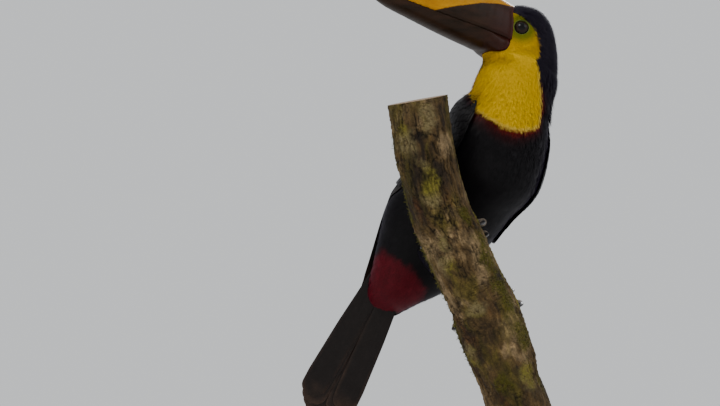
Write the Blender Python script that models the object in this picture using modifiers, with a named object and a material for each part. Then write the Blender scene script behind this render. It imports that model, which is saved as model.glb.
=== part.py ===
"""A yellow-throated toucan at life size, gripping a cut length of branch on a plain display stand.

The origin is the middle of the stand's underside, +Z is up, and the bird's breast faces -Y.
Every size below is in millimetres. The bird leans over the branch, with its head turned to its
own right, so that its bill points along -X.
"""

import math

import bmesh
import bpy
from mathutils import Matrix, Vector

MM = 0.001
GAP = 0.3  # between pieces that meet
HALF_GAP = GAP / 2

# ---------------------------------------------------------------- driving dimensions
BILL_LENGTH = 155.0
EYE_RADIUS = 7.2
EYE_STANDS_OUT = 1.3
TAIL_LENGTH = 152.0  # of the feathers, from their root under the coverts
TAIL_HALF_WIDTH = 28.0
TAIL_THICKNESS = 2.4
WING_THICKNESS = 3.2
WING_TOP = {1: 8.75, -1: 9.1}  # section of each wing's bend; the right shoulder is drawn up
WING_BEND = {1: 0.0, -1: 5.5}  # how far its bend stands out
WING_END = 2.15  # section of the wings' tips
TARSUS_RADIUS = 3.1
TOE_LENGTHS = {"inner_front": 31.0, "outer_front": 40.0, "inner_rear": 24.0, "outer_rear": 36.0}
CLAW_LENGTH = 12.0
BRANCH_RADIUS = 26.0
BRANCH_SAWN_LEVEL = 203.0  # height of the branch's sawn foot
BASE_RADIUS = 105.0
BASE_THICKNESS = 18.0
ROD_RADIUS = 6.0

# The head's own frame: its origin is the middle of the bill's root.
HEAD_ORIGIN = Vector((31.9, -28.6, 542.1))
HEAD_FORWARD = Vector((-0.8944, -0.3939, 0.2118)).normalized()
HEAD_ROLL = math.radians(10)  # its left side dips
LEVEL_LEFT = HEAD_FORWARD.cross(Vector((0, 0, -1))).normalized()
LEVEL_UP = HEAD_FORWARD.cross(LEVEL_LEFT).normalized()
HEAD_LEFT = LEVEL_LEFT * math.cos(HEAD_ROLL) - LEVEL_UP * math.sin(HEAD_ROLL)
HEAD_UP = LEVEL_UP * math.cos(HEAD_ROLL) + LEVEL_LEFT * math.sin(HEAD_ROLL)

# The trunk's frame: its left side, from which its belly's direction follows at each section.
BODY_LEFT = Vector((0.8108, 0.4644, -0.3562)).normalized()

# Sections of the trunk and neck, from the tail coverts up:
# centre x, y, z, then how far the section reaches to the left, right, belly and back.
BODY_SECTIONS = (
    (-81.5, 93.6, 310.9, 9.0, 9.0, 3.0, 3.0),
    (-75.9, 86.9, 320.4, 20.0, 20.0, 10.0, 5.5),
    (-68.9, 78.4, 331.8, 29.5, 26.0, 18.0, 10.0),
    (-50.1, 62.4, 356.8, 51.0, 39.5, 27.0, 22.0),
    (-33.3, 45.8, 377.5, 53.5, 50.5, 32.5, 30.0),
    (-22.3, 33.8, 391.7, 52.0, 49.5, 35.0, 35.0),
    (-2.6, 15.3, 411.8, 50.5, 45.5, 38.5, 38.5),
    (14.8, -0.5, 425.6, 48.0, 45.5, 43.0, 40.5),
    (25.2, -12.3, 447.4, 42.5, 45.0, 38.0, 38.0),
    (31.5, -16.6, 468.7, 37.5, 37.5, 33.0, 33.5),
    (36.3, -18.6, 486.3, 36.3, 36.0, 29.0, 30.0),
)
# Sections of the head, square to its up direction: height above the bill's root, how far
# it reaches behind the root and in front of it, its half width, and its outline's exponent.
HEAD_SECTIONS = (
    (-37.0, 56.5, 13.0, 27.5, 2.2),
    (-29.5, 55.0, 16.5, 26.0, 2.0),
    (-22.0, 52.5, 9.0, 25.0, 2.4),
    (-11.0, 49.0, 8.5, 24.5, 2.5),
    (0.0, 44.5, 9.0, 23.5, 2.5),
    (10.0, 39.0, 10.0, 21.5, 2.5),
    (18.0, 33.0, 5.5, 17.0, 2.5),
    (22.8, 26.0, -0.5, 11.0, 2.5),
    (25.4, 18.0, -8.0, 4.5, 2.5),
)
BODY_ROUNDNESS = 2.15  # exponent of a section's outline; 2 is an ellipse
RING_SIDES = 24
RINGS_PER_SECTION = 2
NECK_ROOT = 9.0  # section number where the neck leaves the trunk
NECK_TOP = 11.0  # section number where the head starts

# Outline of the bill in the head's frame: distance along it as a share of its length,
# heights of the ridge, of the gape line and of the underside, and the half width.
BILL_OUTLINE = (
    (-0.06, 18.5, -15.2, -27.4, 18.0),
    (0.00, 20.3, -15.2, -28.8, 18.0),
    (0.10, 23.0, -15.0, -29.2, 17.8),
    (0.20, 24.3, -15.0, -29.0, 17.2),
    (0.35, 23.6, -15.4, -28.2, 15.6),
    (0.50, 20.6, -15.6, -26.8, 13.6),
    (0.65, 15.2, -15.6, -25.0, 11.2),
    (0.78, 8.2, -16.2, -23.6, 8.8),
    (0.88, 0.2, -17.6, -23.0, 6.4),
    (0.95, -8.2, -20.4, -24.0, 4.2),
    (1.00, -20.0, -25.6, -26.0, 1.2),
)
UPPER_ROUNDNESS = 2.5
LOWER_ROUNDNESS = 2.2
ROOT_SQUARENESS = 4.3  # added to it where the lower half leaves the head
LOWER_BILL_SHARE = 0.955  # the lower half ends short of the hooked tip
BILL_RINGS = 18
EYE_PLACE = (-5.3, -1.9)  # forward of and above the bill's root, on each side

# Tail
TAIL_ROOT = Vector((-71.5, 70.5, 343.0))
TAIL_ALONG = Vector((-0.4606, 0.3261, -0.8416)).normalized()
TAIL_BELLY = Vector((0.12, -0.923, -0.365))
TAIL_ARCH = 5.0

# Branch: centre line from the sawn foot to the upper cut
BRANCH_LINE = (
    (40.0, 24.5, 196.0),
    (29.3, 13.1, 231.8),
    (17.3, 2.6, 260.7),
    (6.5, -7.8, 289.6),
    (-6.7, -16.9, 314.3),
    (-19.6, -29.0, 345.2),
    (-31.5, -39.8, 372.0),
    (-43.6, -58.5, 416.4),
    (-51.3, -75.2, 455.0),
)
BRANCH_BACK = Vector((0.0, 0.951, 0.309))  # the side that faces the bird
BRANCH_RINGS = 16
BRANCH_SIDES = 20

# Legs: where each foot holds the branch (place along its line, degrees round it from its
# back towards +X), the heel, and the hip inside the trunk
LEGS = {
    "r": {"hold": (5.0, 14.0), "heel": (-33.0, 22.0, 335.5), "hip": (-40.0, 38.0, 370.0), "inner": -1},
    "l": {"hold": (2.98, 0.0), "heel": (-2.3, 32.1, 338.2), "hip": (-8.0, 48.0, 368.0), "inner": 1},
}
TOE_SPREAD = 4.0  # sideways from the foot's middle at the toe's root
TOE_SPLAY = 1.0  # more at its tip
THIGH_GIRTH = ((-0.10, 5.4), (0.02, 7.2), (0.2, 9.6), (0.5, 12.4), (0.8, 13.5), (1.1, 13.5))
PAD_SIZE = (8.2, 9.6, 5.2)  # round the branch, along it, and out from it


# ---------------------------------------------------------------- general tools
def clear_scene():
    for old in list(bpy.data.objects):
        bpy.data.objects.remove(old, do_unlink=True)


def new_collection(name):
    made = bpy.data.collections.new(name)
    bpy.context.scene.collection.children.link(made)
    return made


def material(name, colour, roughness, metallic=0.0):
    made = bpy.data.materials.new(name)
    made.use_nodes = True
    shader = made.node_tree.nodes["Principled BSDF"]
    shader.inputs["Base Color"].default_value = (*colour, 1.0)
    shader.inputs["Roughness"].default_value = roughness
    shader.inputs["Metallic"].default_value = metallic
    made.diffuse_color = (*colour, 1.0)
    return made


def add_object(name, bm, collection, finish=None):
    """A smooth-shaded object from a bmesh given in millimetres."""
    bmesh.ops.scale(bm, vec=(MM, MM, MM), verts=bm.verts)
    bmesh.ops.recalc_face_normals(bm, faces=bm.faces)
    mesh = bpy.data.meshes.new(name)
    bm.to_mesh(mesh)
    bm.free()
    mesh.shade_smooth()
    mesh.set_sharp_from_angle(angle=math.radians(40))
    made = bpy.data.objects.new(name, mesh)
    if finish:
        mesh.materials.append(finish)
    else:
        made.hide_render = True
        made.display_type = "WIRE"
    collection.objects.link(made)
    return made


def loft(rings):
    """A closed bmesh through rings of equal counts, with both ends capped."""
    bm = bmesh.new()
    rows = [[bm.verts.new(p) for p in ring] for ring in rings]
    sides = len(rows[0])
    for near, far in zip(rows, rows[1:]):
        for k in range(sides):
            after = (k + 1) % sides
            bm.faces.new((near[k], near[after], far[after], far[k]))
    bm.faces.new(rows[0][::-1])
    bm.faces.new(rows[-1])
    return bm


def sheet(rows):
    """An open bmesh through a grid of points."""
    bm = bmesh.new()
    grid = [[bm.verts.new(p) for p in row] for row in rows]
    for near, far in zip(grid, grid[1:]):
        for k in range(len(near) - 1):
            bm.faces.new((near[k], near[k + 1], far[k + 1], far[k]))
    return bm


def spline(values, t):
    """Catmull-Rom through equally spaced tuples or vectors, at t in steps of one."""
    last = len(values) - 1
    i = min(max(int(math.floor(t)), 0), last - 1)
    x = t - i
    points = [Vector(values[min(max(i + k, 0), last)]) for k in (-1, 0, 1, 2)]
    a, b, c, d = points
    return 0.5 * (
        2 * b + (c - a) * x + (2 * a - 5 * b + 4 * c - d) * x**2 + (3 * b - a - 3 * c + d) * x**3
    )


def table_spline(rows, x):
    """Each column of a table after its first, interpolated smoothly at x of the first."""
    i = 0
    while i < len(rows) - 2 and x > rows[i + 1][0]:
        i += 1
    share = (x - rows[i][0]) / (rows[i + 1][0] - rows[i][0])
    columns = [row[1:] for row in rows]
    return [
        spline([(value,) * 3 for value in column], i + share)[0] for column in zip(*columns)
    ]


def rounded(share, exponent):
    """Signed power that turns a circle's coordinate into a superellipse's."""
    return math.copysign(abs(share) ** (2 / exponent), share)


def smooth_step(low, high, x):
    share = min(max((x - low) / (high - low), 0.0), 1.0)
    return share * share * (3 - 2 * share)


def take_away(obj, *cutters):
    for cutter in cutters:
        modifier = obj.modifiers.new("cut by " + cutter.name, "BOOLEAN")
        modifier.operation = "DIFFERENCE"
        modifier.solver = "EXACT"
        modifier.object = cutter


def trim(bm, point, normal):
    """Removes what lies on the normal's side of a plane and caps the cut."""
    everything = bm.verts[:] + bm.edges[:] + bm.faces[:]
    done = bmesh.ops.bisect_plane(
        bm, geom=everything, plane_co=point, plane_no=normal, clear_outer=True
    )
    rim = [e for e in done["geom_cut"] if isinstance(e, bmesh.types.BMEdge)]
    bmesh.ops.holes_fill(bm, edges=rim, sides=0)


def tube(name, points, radii, collection, finish, sides=1):
    """A tube with its own radius at each point, as a mesh with filled caps."""
    line = bpy.data.curves.new(name, "CURVE")
    line.dimensions = "3D"
    line.bevel_depth = MM
    line.bevel_resolution = sides
    line.use_fill_caps = True
    run = line.splines.new("POLY")
    run.points.add(len(points) - 1)
    for knot, place, radius in zip(run.points, points, radii):
        knot.co = (*(Vector(place) * MM), 1.0)
        knot.radius = radius
    guide = bpy.data.objects.new(name + "_line", line)
    collection.objects.link(guide)
    bpy.context.view_layer.update()
    graph = bpy.context.evaluated_depsgraph_get()
    mesh = bpy.data.meshes.new_from_object(guide.evaluated_get(graph))
    bpy.data.objects.remove(guide)
    bm = bmesh.new()
    bm.from_mesh(mesh)
    bpy.data.meshes.remove(mesh)
    bmesh.ops.remove_doubles(bm, verts=bm.verts, dist=1e-6)
    bmesh.ops.scale(bm, vec=(1 / MM,) * 3, verts=bm.verts)
    return add_object(name, bm, collection, finish)


# ---------------------------------------------------------------- trunk, neck and head
def head_point(forward, left, up):
    return HEAD_ORIGIN + HEAD_FORWARD * forward + HEAD_LEFT * left + HEAD_UP * up


def body_stations():
    """Every section from the tail coverts to the crown: centre, axis, left, reaches, roundness."""
    centres = [Vector(row[:3]) for row in BODY_SECTIONS]
    middle = [
        head_point((front - back) / 2, 0, height) for height, back, front, _, _ in HEAD_SECTIONS
    ]
    every = centres + middle
    stations = []
    for i, centre in enumerate(every):
        if i < len(centres):
            axis = (every[i + 1] - every[max(i - 1, 0)]).normalized()
            left, reach, roundness = BODY_LEFT, BODY_SECTIONS[i][3:], BODY_ROUNDNESS
        else:
            axis, left = HEAD_UP, -HEAD_FORWARD
            _, back, front, half, roundness = HEAD_SECTIONS[i - len(centres)]
            reach = ((front + back) / 2, (front + back) / 2, half, half)
        left = (left - axis * left.dot(axis)).normalized()
        stations.append((centre, axis, left, reach, roundness))
    return stations


STATIONS = body_stations()


def body_frame(t):
    """Centre, left and belly directions, reaches and roundness of the section at t."""
    centre = spline([s[0] for s in STATIONS], t)
    axis = spline([s[1] for s in STATIONS], t).normalized()
    left = spline([s[2] for s in STATIONS], t)
    left = (left - axis * left.dot(axis)).normalized()
    i = min(int(t), len(STATIONS) - 2)
    share = t - i
    sides = spline([s[3][:3] for s in STATIONS], t)
    back = spline([(s[3][3],) * 3 for s in STATIONS], t)[0]
    roundness = STATIONS[i][4] * (1 - share) + STATIONS[i + 1][4] * share
    return centre, left, left.cross(axis), (*sides, back), roundness


def body_point(t, degrees, grow=0.0):
    """A point of the skin: 0 degrees is its left, 90 its belly, 270 its back."""
    centre, left, belly, reach, roundness = body_frame(t)
    c, s = math.cos(math.radians(degrees)), math.sin(math.radians(degrees))
    across = rounded(c, roundness) * (reach[0 if c > 0 else 1] + grow)
    out = rounded(s, roundness) * (reach[2 if s > 0 else 3] + grow)
    return centre + left * across + belly * out


def body_part(low, high, grow=0.0):
    """The stretch of the body between two section numbers, closed at both ends."""
    steps = [low]
    step = math.floor(low * RINGS_PER_SECTION) + 1
    while step / RINGS_PER_SECTION < high - 1e-6:
        if step / RINGS_PER_SECTION > low + 0.05:
            steps.append(step / RINGS_PER_SECTION)
        step += 1
    steps.append(high)
    turns = [360 * k / RING_SIDES for k in range(RING_SIDES)]
    return loft([[body_point(t, a, grow) for a in turns] for t in steps])


def section_share(t, distance):
    """How much of a section step a distance along the body is, at t."""
    ahead = (spline([s[0] for s in STATIONS], t + 0.01) - spline([s[0] for s in STATIONS], t)).length
    return distance * 0.01 / ahead


# ---------------------------------------------------------------- bill
def bill_rings(lower, grow=0.0):
    """Rings of the upper or lower half of the bill, from inside the head to its tip."""
    end = LOWER_BILL_SHARE if lower else 1.0
    start = BILL_OUTLINE[0][0]
    rings = []
    for n in range(BILL_RINGS + 1):
        share = start + (end - start) * (n / BILL_RINGS) ** 0.9
        ridge, gape, under, half = table_spline(BILL_OUTLINE, share)
        if lower:
            taper = 1 - smooth_step(0.75, 1.0, share / end)
            gape_side, far_side = gape - HALF_GAP, gape + (under - gape) * (0.25 + 0.75 * taper)
            half = half * (0.30 + 0.66 * taper)
            square = ROOT_SQUARENESS * (1 - smooth_step(0.05, 0.16, share))
            roundness, turns = LOWER_ROUNDNESS + square, range(0, 181, 18)
        else:
            gape_side, far_side = gape + HALF_GAP, ridge
            roundness, turns = UPPER_ROUNDNESS, range(0, 181, 15)
        ring = []
        for turn in turns:
            c, s = math.cos(math.radians(turn)), math.sin(math.radians(turn))
            across = rounded(c, roundness) * (half + grow)
            up = gape_side + (far_side - gape_side) * rounded(s, roundness)
            ring.append(head_point(share * BILL_LENGTH, across, up))
        rings.append(ring)
    return rings


def build_head(collection, cutters, finishes):
    last = len(STATIONS) - 1
    low = NECK_TOP + section_share(NECK_TOP, HALF_GAP)
    head = add_object("head", body_part(low, last), collection, finishes["feathers_yellow"])
    head_room = add_object("head_room", body_part(NECK_TOP - 1.5, last, GAP), cutters)
    for name, lower in (("bill_upper", False), ("bill_lower", True)):
        finish = finishes["bill_dark" if lower else "bill_yellow"]
        half = add_object(name, loft(bill_rings(lower)), collection, finish)
        take_away(half, head_room)
    for side, sign in (("l", 1), ("r", -1)):
        place = eye_centre(sign)
        ball("eye_" + side, place, (EYE_RADIUS,) * 3, collection, finishes["eye"])
        socket = ball("socket_" + side, place, (EYE_RADIUS + GAP,) * 3, cutters)
        take_away(head, socket)


def ball(name, place, sizes, collection, finish=None, axes=None, rings=10, sides=16):
    """A round form with its three half sizes along the given axes."""
    bm = bmesh.new()
    bmesh.ops.create_uvsphere(bm, u_segments=sides, v_segments=rings, radius=1.0)
    turn = Matrix(axes).transposed().to_4x4() if axes else Matrix.Identity(4)
    fit = Matrix.Translation(place) @ turn @ Matrix.Diagonal((*sizes, 1.0))
    bmesh.ops.transform(bm, matrix=fit, verts=bm.verts)
    return add_object(name, bm, collection, finish)


def eye_centre(sign):
    """The middle of the eye: sunk so that a cap of it stands out of the side of the head."""
    forward, up = EYE_PLACE
    heights = [row[0] for row in HEAD_SECTIONS]
    step = next(i for i, height in enumerate(heights) if height > up) - 1
    share = (up - heights[step]) / (heights[step + 1] - heights[step])
    _, back, front, half, roundness = (
        a + (b - a) * share for a, b in zip(HEAD_SECTIONS[step], HEAD_SECTIONS[step + 1])
    )
    middle, reach = (front - back) / 2, (front + back) / 2
    off = abs(forward - middle) / reach
    surface = half * (1 - off**roundness) ** (1 / roundness)
    return head_point(forward, sign * (surface - EYE_RADIUS + EYE_STANDS_OUT), up)


# ---------------------------------------------------------------- tail and wings
def tail_frame():
    belly = (TAIL_BELLY - TAIL_ALONG * TAIL_BELLY.dot(TAIL_ALONG)).normalized()
    return belly, TAIL_ALONG.cross(belly).normalized()


def tail_point(along, across, below=0.0):
    """A point of the tail: distance down it, to the bird's left, and towards its belly."""
    belly, side = tail_frame()
    left = side if side.dot(BODY_LEFT) > 0 else -side
    return TAIL_ROOT + TAIL_ALONG * along + left * across + belly * below


def build_tail(collection, cutters, finishes):
    """Ten feathers held as one arched fan with a rounded end."""
    rows = []
    for n in range(13):
        share = n / 12
        half = TAIL_HALF_WIDTH * (0.62 + 0.40 * smooth_step(0.0, 0.75, share))
        row = []
        for k in range(-5, 6):
            w = k / 5
            rounding = 1 - 0.16 * abs(w) ** 2.6
            along = share * TAIL_LENGTH * rounding
            arch = TAIL_ARCH * (0.45 - w * w) * (1 - 0.4 * share)
            row.append(tail_point(along, half * w, -arch))
        rows.append(row)
    tail = add_object("tail", sheet(rows), collection, finishes["feathers_black"])
    thicken(tail, TAIL_THICKNESS)
    take_away(tail, cutters.objects["body_room"])


def build_tail_room(cutters):
    """A slab round the tail, which keeps the wings clear of it."""
    length, half = TAIL_LENGTH + 20, TAIL_HALF_WIDTH + 10
    rows = [[tail_point(along, across) for across in (-half, half)] for along in (-10, length)]
    room = add_object("tail_room", sheet(rows), cutters)
    thicken(room, 2 * TAIL_ARCH + TAIL_THICKNESS)


def thicken(obj, thickness):
    shell = obj.modifiers.new("thickness", "SOLIDIFY")
    shell.thickness = thickness * MM
    shell.offset = 0.0
    shell.use_even_offset = False


def wing_middle(sign, u):
    """Section number and degrees above the side line of the wing's middle at u."""
    section = WING_TOP[sign] - (WING_TOP[sign] - WING_END) * u
    return section, 4 + 52 * smooth_step(0.05, 0.95, u)


def wing_half(u):
    """Half width of the folded wing at u, from its bend to its tip."""
    return 34 * math.sin(math.pi * min(u * 0.62 + 0.10, 1.0)) ** 0.8 * (1 - 0.62 * smooth_step(0.55, 1, u))


def wing_point(sign, u, w):
    """A point midway through the folded wing: u from bend to tip, w from lower edge to upper."""
    section, above = wing_middle(sign, u)
    near_end = max(1 - u / 0.12, (u - 0.88) / 0.12, 0.0)
    half = wing_half(u) * math.sqrt(1 - 0.85 * near_end**2)
    _, _, _, reach, _ = body_frame(section)
    radius = (reach[0] + reach[3]) / 2
    degrees = above + math.degrees(w * half / radius)
    around = -degrees if sign > 0 else 180 + degrees
    bulge = WING_THICKNESS * ((1.0 - 0.45 * w * w) * (0.55 + 0.45 * smooth_step(0, 0.15, u)) - 1)
    bulge += WING_BEND[sign] * math.exp(-(((u - 0.07) / 0.10) ** 2)) * (1 - 0.7 * w * w)
    on_body = body_point(section, around, bulge + 1.3)
    over_tail = tail_point(
        -38 + 105 * (u - 0.45) / 0.55, sign * (9 + 0.55 * half * -w + 6 * (1 - u)), -15 + 5 * abs(w)
    )
    return on_body.lerp(over_tail, smooth_step(0.66, 1.0, u))


def build_wings(collection, cutters, finishes):
    for side, sign in (("l", 1), ("r", -1)):
        rows = [
            [wing_point(sign, n / 14, k / 4) for k in range(-4, 5)] for n in range(15)
        ]
        wing = add_object("wing_" + side, sheet(rows), collection, finishes["feathers_black"])
        thicken(wing, 2 * WING_THICKNESS)
        take_away(wing, cutters.objects["body_room"], cutters.objects["tail_room"])


# ---------------------------------------------------------------- branch, legs and stand
def branch_frame(t):
    """Centre, upward direction, back and side directions of the branch at t of its line."""
    centre = spline(BRANCH_LINE, t)
    up = (spline(BRANCH_LINE, t + 0.05) - spline(BRANCH_LINE, t - 0.05)).normalized()
    back = (BRANCH_BACK - up * BRANCH_BACK.dot(up)).normalized()
    return centre, up, back, up.cross(back).normalized()


def branch_radius(t, degrees):
    """Bark surface: thicker at its foot, with swellings that wind round it and two hollows."""
    turn = math.radians(degrees)
    swelling = 0.7 * math.sin(2 * turn + 1.9 * t) + 0.5 * math.sin(3 * turn - 2.7 * t + 1.0)
    hollow = 4.2 * math.exp(-(((t - 6.1) / 1.15) ** 2)) + 3.6 * math.exp(-(((t - 1.15) / 0.5) ** 2))
    hollow *= max(math.sin(turn), 0.0) ** 2
    return BRANCH_RADIUS + 1.9 * (1 - t / 8) + swelling - hollow


def branch_point(t, degrees, out=0.0):
    """A point this far out from the bark: 0 degrees is its back, 90 its +X side."""
    centre, _, back, side = branch_frame(t)
    turn = math.radians(degrees)
    reach = branch_radius(t, degrees) + out
    side = side if side.x > 0 else -side
    return centre + back * (math.cos(turn) * reach) + side * (math.sin(turn) * reach)


def build_branch(collection, finishes):
    last = len(BRANCH_LINE) - 1
    rings = []
    for n in range(BRANCH_RINGS + 1):
        t = last * n / BRANCH_RINGS
        rings.append([branch_point(t, 360 * k / BRANCH_SIDES) for k in range(BRANCH_SIDES)])
    bm = loft(rings)
    trim(bm, Vector((0, 0, BRANCH_SAWN_LEVEL)), Vector((0, 0, -1)))
    add_object("branch", bm, collection, finishes["bark"])


def toe_path(hold, direction, aside, length, start, steps, lift):
    """Points from the foot's middle round the branch: direction +1 goes towards +X."""
    t0, turn0 = hold
    reach = branch_radius(t0, turn0) + lift
    spacing = (spline(BRANCH_LINE, t0 + 0.5) - spline(BRANCH_LINE, t0 - 0.5)).length
    points = []
    for n in range(steps + 1):
        run = start + (length - start) * n / steps
        side = aside * (TOE_SPREAD + TOE_SPLAY * min(run / 40.0, 1.3))
        turn = turn0 + direction * math.degrees(run / reach)
        points.append((t0 + side / spacing, turn, run))
    return points


def thigh_rings(heel, hip, out, grow=0.0):
    """Rings of the feathered thigh, from just past the heel to deep inside the trunk."""
    run = (hip - heel).normalized()
    across = run.cross(out).normalized()
    over = run.cross(across)
    rings = []
    for share, radius in THIGH_GIRTH:
        centre = heel.lerp(hip, share) - run * (grow if share < 0 else 0.0)
        turns = [2 * math.pi * k / 14 for k in range(14)]
        reach = radius + grow
        rings.append([centre + across * (math.cos(a) * reach) + over * (math.sin(a) * reach) for a in turns])
    return rings


def build_leg(side, collection, cutters, finishes):
    leg = LEGS[side]
    hold, inner = leg["hold"], leg["inner"]
    _, up, _, _ = branch_frame(hold[0])
    foot = branch_point(*hold, PAD_SIZE[2] + 0.6)
    out = (foot - branch_frame(hold[0])[0]).normalized()
    round_it = up.cross(out).normalized()
    axes = (round_it, up, out)
    ball("foot_" + side, foot, PAD_SIZE, collection, finishes["leg"], axes, 8, 14)
    roomy_pad = [size + GAP for size in PAD_SIZE]
    pad_room = ball("pad_room_" + side, foot, roomy_pad, cutters, None, axes, 8, 14)
    heel, hip = Vector(leg["heel"]), Vector(leg["hip"])
    ankle = foot + out * 3.5
    shank = [ankle.lerp(heel, share) for share in (0, 0.12, 0.3, 0.55, 0.78, 0.9, 0.98)]
    girth = [3.8, 3.4, 3.1, 2.9, 3.1, 3.4, 2.6]
    tarsus = tube("tarsus_" + side, shank, girth, collection, finishes["leg"], 2)
    roomy = [radius + GAP for radius in girth]
    tarsus_room = tube("tarsus_room_" + side, shank, roomy, cutters, None, 2)
    outline, roomier = thigh_rings(heel, hip, out), thigh_rings(heel, hip, out, GAP)
    thigh = add_object("thigh_" + side, loft(outline), collection, finishes["feathers_black"])
    thigh_room = add_object("thigh_room_" + side, loft(roomier), cutters)
    for toe, length in TOE_LENGTHS.items():
        direction = 1 if toe.endswith("front") else -1
        aside = inner * (1 if toe.startswith("inner") else -1)
        path = (hold, direction, aside, length)
        build_toe(side + "_" + toe, path, (pad_room, tarsus_room), collection, finishes)
    take_away(tarsus, pad_room, thigh_room)
    take_away(thigh, cutters.objects["body_room"])


def build_toe(name, path, rooms, collection, finishes):
    """A scaled toe round the branch and the claw that ends it."""
    hold, direction, aside, length = path
    lift = 4.3
    knots = toe_path(hold, direction, aside, length, 2.0, 9, lift)
    radii = [4.0 - 1.1 * n / 9 + (0.35 if n in (3, 6, 8) else 0.0) for n in range(10)]
    points = [branch_point(t, turn, radius + 0.5) for (t, turn, _), radius in zip(knots, radii)]
    toe = tube("toe_" + name, points, radii, collection, finishes["leg"])
    take_away(toe, *rooms)
    claw_knots = toe_path(hold, direction, aside, length + CLAW_LENGTH, length + GAP, 6, lift)
    claw_radii = [2.5, 2.3, 2.0, 1.65, 1.25, 0.85, 0.4]
    arch = [1.0, 1.2, 1.5, 1.6, 1.3, 0.8, 0.35]
    claw_points = [
        branch_point(t, turn, radius + high)
        for (t, turn, _), radius, high in zip(claw_knots, claw_radii, arch)
    ]
    tube("claw_" + name, claw_points, claw_radii, collection, finishes["claw"])


def build_stand(collection, finishes):
    """A turned round base and one rod up to the branch's sawn foot."""
    bm = bmesh.new()
    bmesh.ops.create_cone(
        bm,
        cap_ends=True,
        segments=44,
        radius1=BASE_RADIUS,
        radius2=BASE_RADIUS,
        depth=BASE_THICKNESS,
        matrix=Matrix.Translation((0, 0, BASE_THICKNESS / 2)),
    )
    base = add_object("stand_base", bm, collection, finishes["stand_wood"])
    edge = base.modifiers.new("rounded rim", "BEVEL")
    edge.width = 3 * MM
    edge.segments = 2
    edge.limit_method = "ANGLE"
    foot = spline(BRANCH_LINE, 0.25)
    low, high = BASE_THICKNESS + GAP, BRANCH_SAWN_LEVEL - GAP
    rod = bmesh.new()
    bmesh.ops.create_cone(
        rod,
        cap_ends=True,
        segments=24,
        radius1=ROD_RADIUS,
        radius2=ROD_RADIUS,
        depth=high - low,
        matrix=Matrix.Translation((foot.x, foot.y, (low + high) / 2)),
    )
    add_object("stand_rod", rod, collection, finishes["stand_metal"])


def make_finishes():
    return {
        "feathers_black": material("feathers_black", (0.012, 0.010, 0.012), 0.55),
        "feathers_yellow": material("feathers_yellow", (0.80, 0.58, 0.02), 0.6),
        "bill_yellow": material("bill_yellow", (0.85, 0.55, 0.05), 0.3),
        "bill_dark": material("bill_dark", (0.07, 0.025, 0.015), 0.3),
        "eye": material("eye", (0.02, 0.01, 0.008), 0.08),
        "leg": material("leg", (0.17, 0.22, 0.27), 0.5),
        "claw": material("claw", (0.02, 0.02, 0.02), 0.35),
        "bark": material("bark", (0.22, 0.15, 0.08), 0.85),
        "stand_wood": material("stand_wood", (0.05, 0.04, 0.035), 0.4),
        "stand_metal": material("stand_metal", (0.35, 0.34, 0.33), 0.35, 1.0),
    }


def main():
    clear_scene()
    collection = new_collection("yellow_throated_toucan")
    cutters = new_collection("cutters")
    finishes = make_finishes()
    torso_end = NECK_ROOT - section_share(NECK_ROOT, HALF_GAP)
    neck_start = NECK_ROOT + section_share(NECK_ROOT, HALF_GAP)
    neck_end = NECK_TOP - section_share(NECK_TOP, HALF_GAP)
    add_object("torso", body_part(0.0, torso_end), collection, finishes["feathers_black"])
    add_object("neck", body_part(neck_start, neck_end), collection, finishes["feathers_yellow"])
    add_object("body_room", body_part(0.0, NECK_TOP, GAP), cutters)
    build_head(collection, cutters, finishes)
    build_tail(collection, cutters, finishes)
    build_tail_room(cutters)
    build_wings(collection, cutters, finishes)
    build_branch(collection, finishes)
    for side in LEGS:
        build_leg(side, collection, cutters, finishes)
    build_stand(collection, finishes)


main()
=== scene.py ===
"""Looks of a museum model of a yellow-throated toucan that grips a cut length of branch.

One skin replaces the solids of flesh, with feathers and tufts of thin ribbons over it. Wings and
tail are closed shells, one for each long feather. Bill, eyes, claws and bark are finer pieces in
the place of their solids, and the stand keeps its own. Lengths here are in millimetres and in the
solids' frame; add_mesh() turns them into metres.
"""

import math
from functools import partial

import bmesh
import bpy
import numpy as np
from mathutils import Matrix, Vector


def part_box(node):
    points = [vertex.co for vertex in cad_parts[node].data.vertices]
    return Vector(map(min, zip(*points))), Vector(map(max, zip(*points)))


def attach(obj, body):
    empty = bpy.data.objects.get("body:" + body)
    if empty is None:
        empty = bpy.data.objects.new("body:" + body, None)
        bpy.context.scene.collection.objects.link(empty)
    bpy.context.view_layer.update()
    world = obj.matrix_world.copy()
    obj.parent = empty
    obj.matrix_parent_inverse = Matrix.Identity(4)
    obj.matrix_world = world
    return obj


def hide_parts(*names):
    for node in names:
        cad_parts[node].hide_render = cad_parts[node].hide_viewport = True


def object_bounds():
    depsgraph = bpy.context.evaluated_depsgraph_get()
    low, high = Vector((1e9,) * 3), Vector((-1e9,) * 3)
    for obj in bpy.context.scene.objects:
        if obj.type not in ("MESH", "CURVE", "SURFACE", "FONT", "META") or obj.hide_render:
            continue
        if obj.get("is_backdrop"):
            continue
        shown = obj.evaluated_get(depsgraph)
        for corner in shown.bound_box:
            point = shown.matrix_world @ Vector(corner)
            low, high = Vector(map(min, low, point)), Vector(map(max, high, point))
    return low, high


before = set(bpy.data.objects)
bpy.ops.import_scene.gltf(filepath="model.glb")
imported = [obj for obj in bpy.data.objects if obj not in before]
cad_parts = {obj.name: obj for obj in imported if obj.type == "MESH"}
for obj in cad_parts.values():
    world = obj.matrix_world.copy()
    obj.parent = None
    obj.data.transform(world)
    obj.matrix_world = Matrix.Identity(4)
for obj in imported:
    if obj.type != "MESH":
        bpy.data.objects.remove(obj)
cad_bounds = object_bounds()

MM = 0.001
BODY = "root"
SIDES = {"l": 1, "r": -1}  # the bird's left and right

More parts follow.
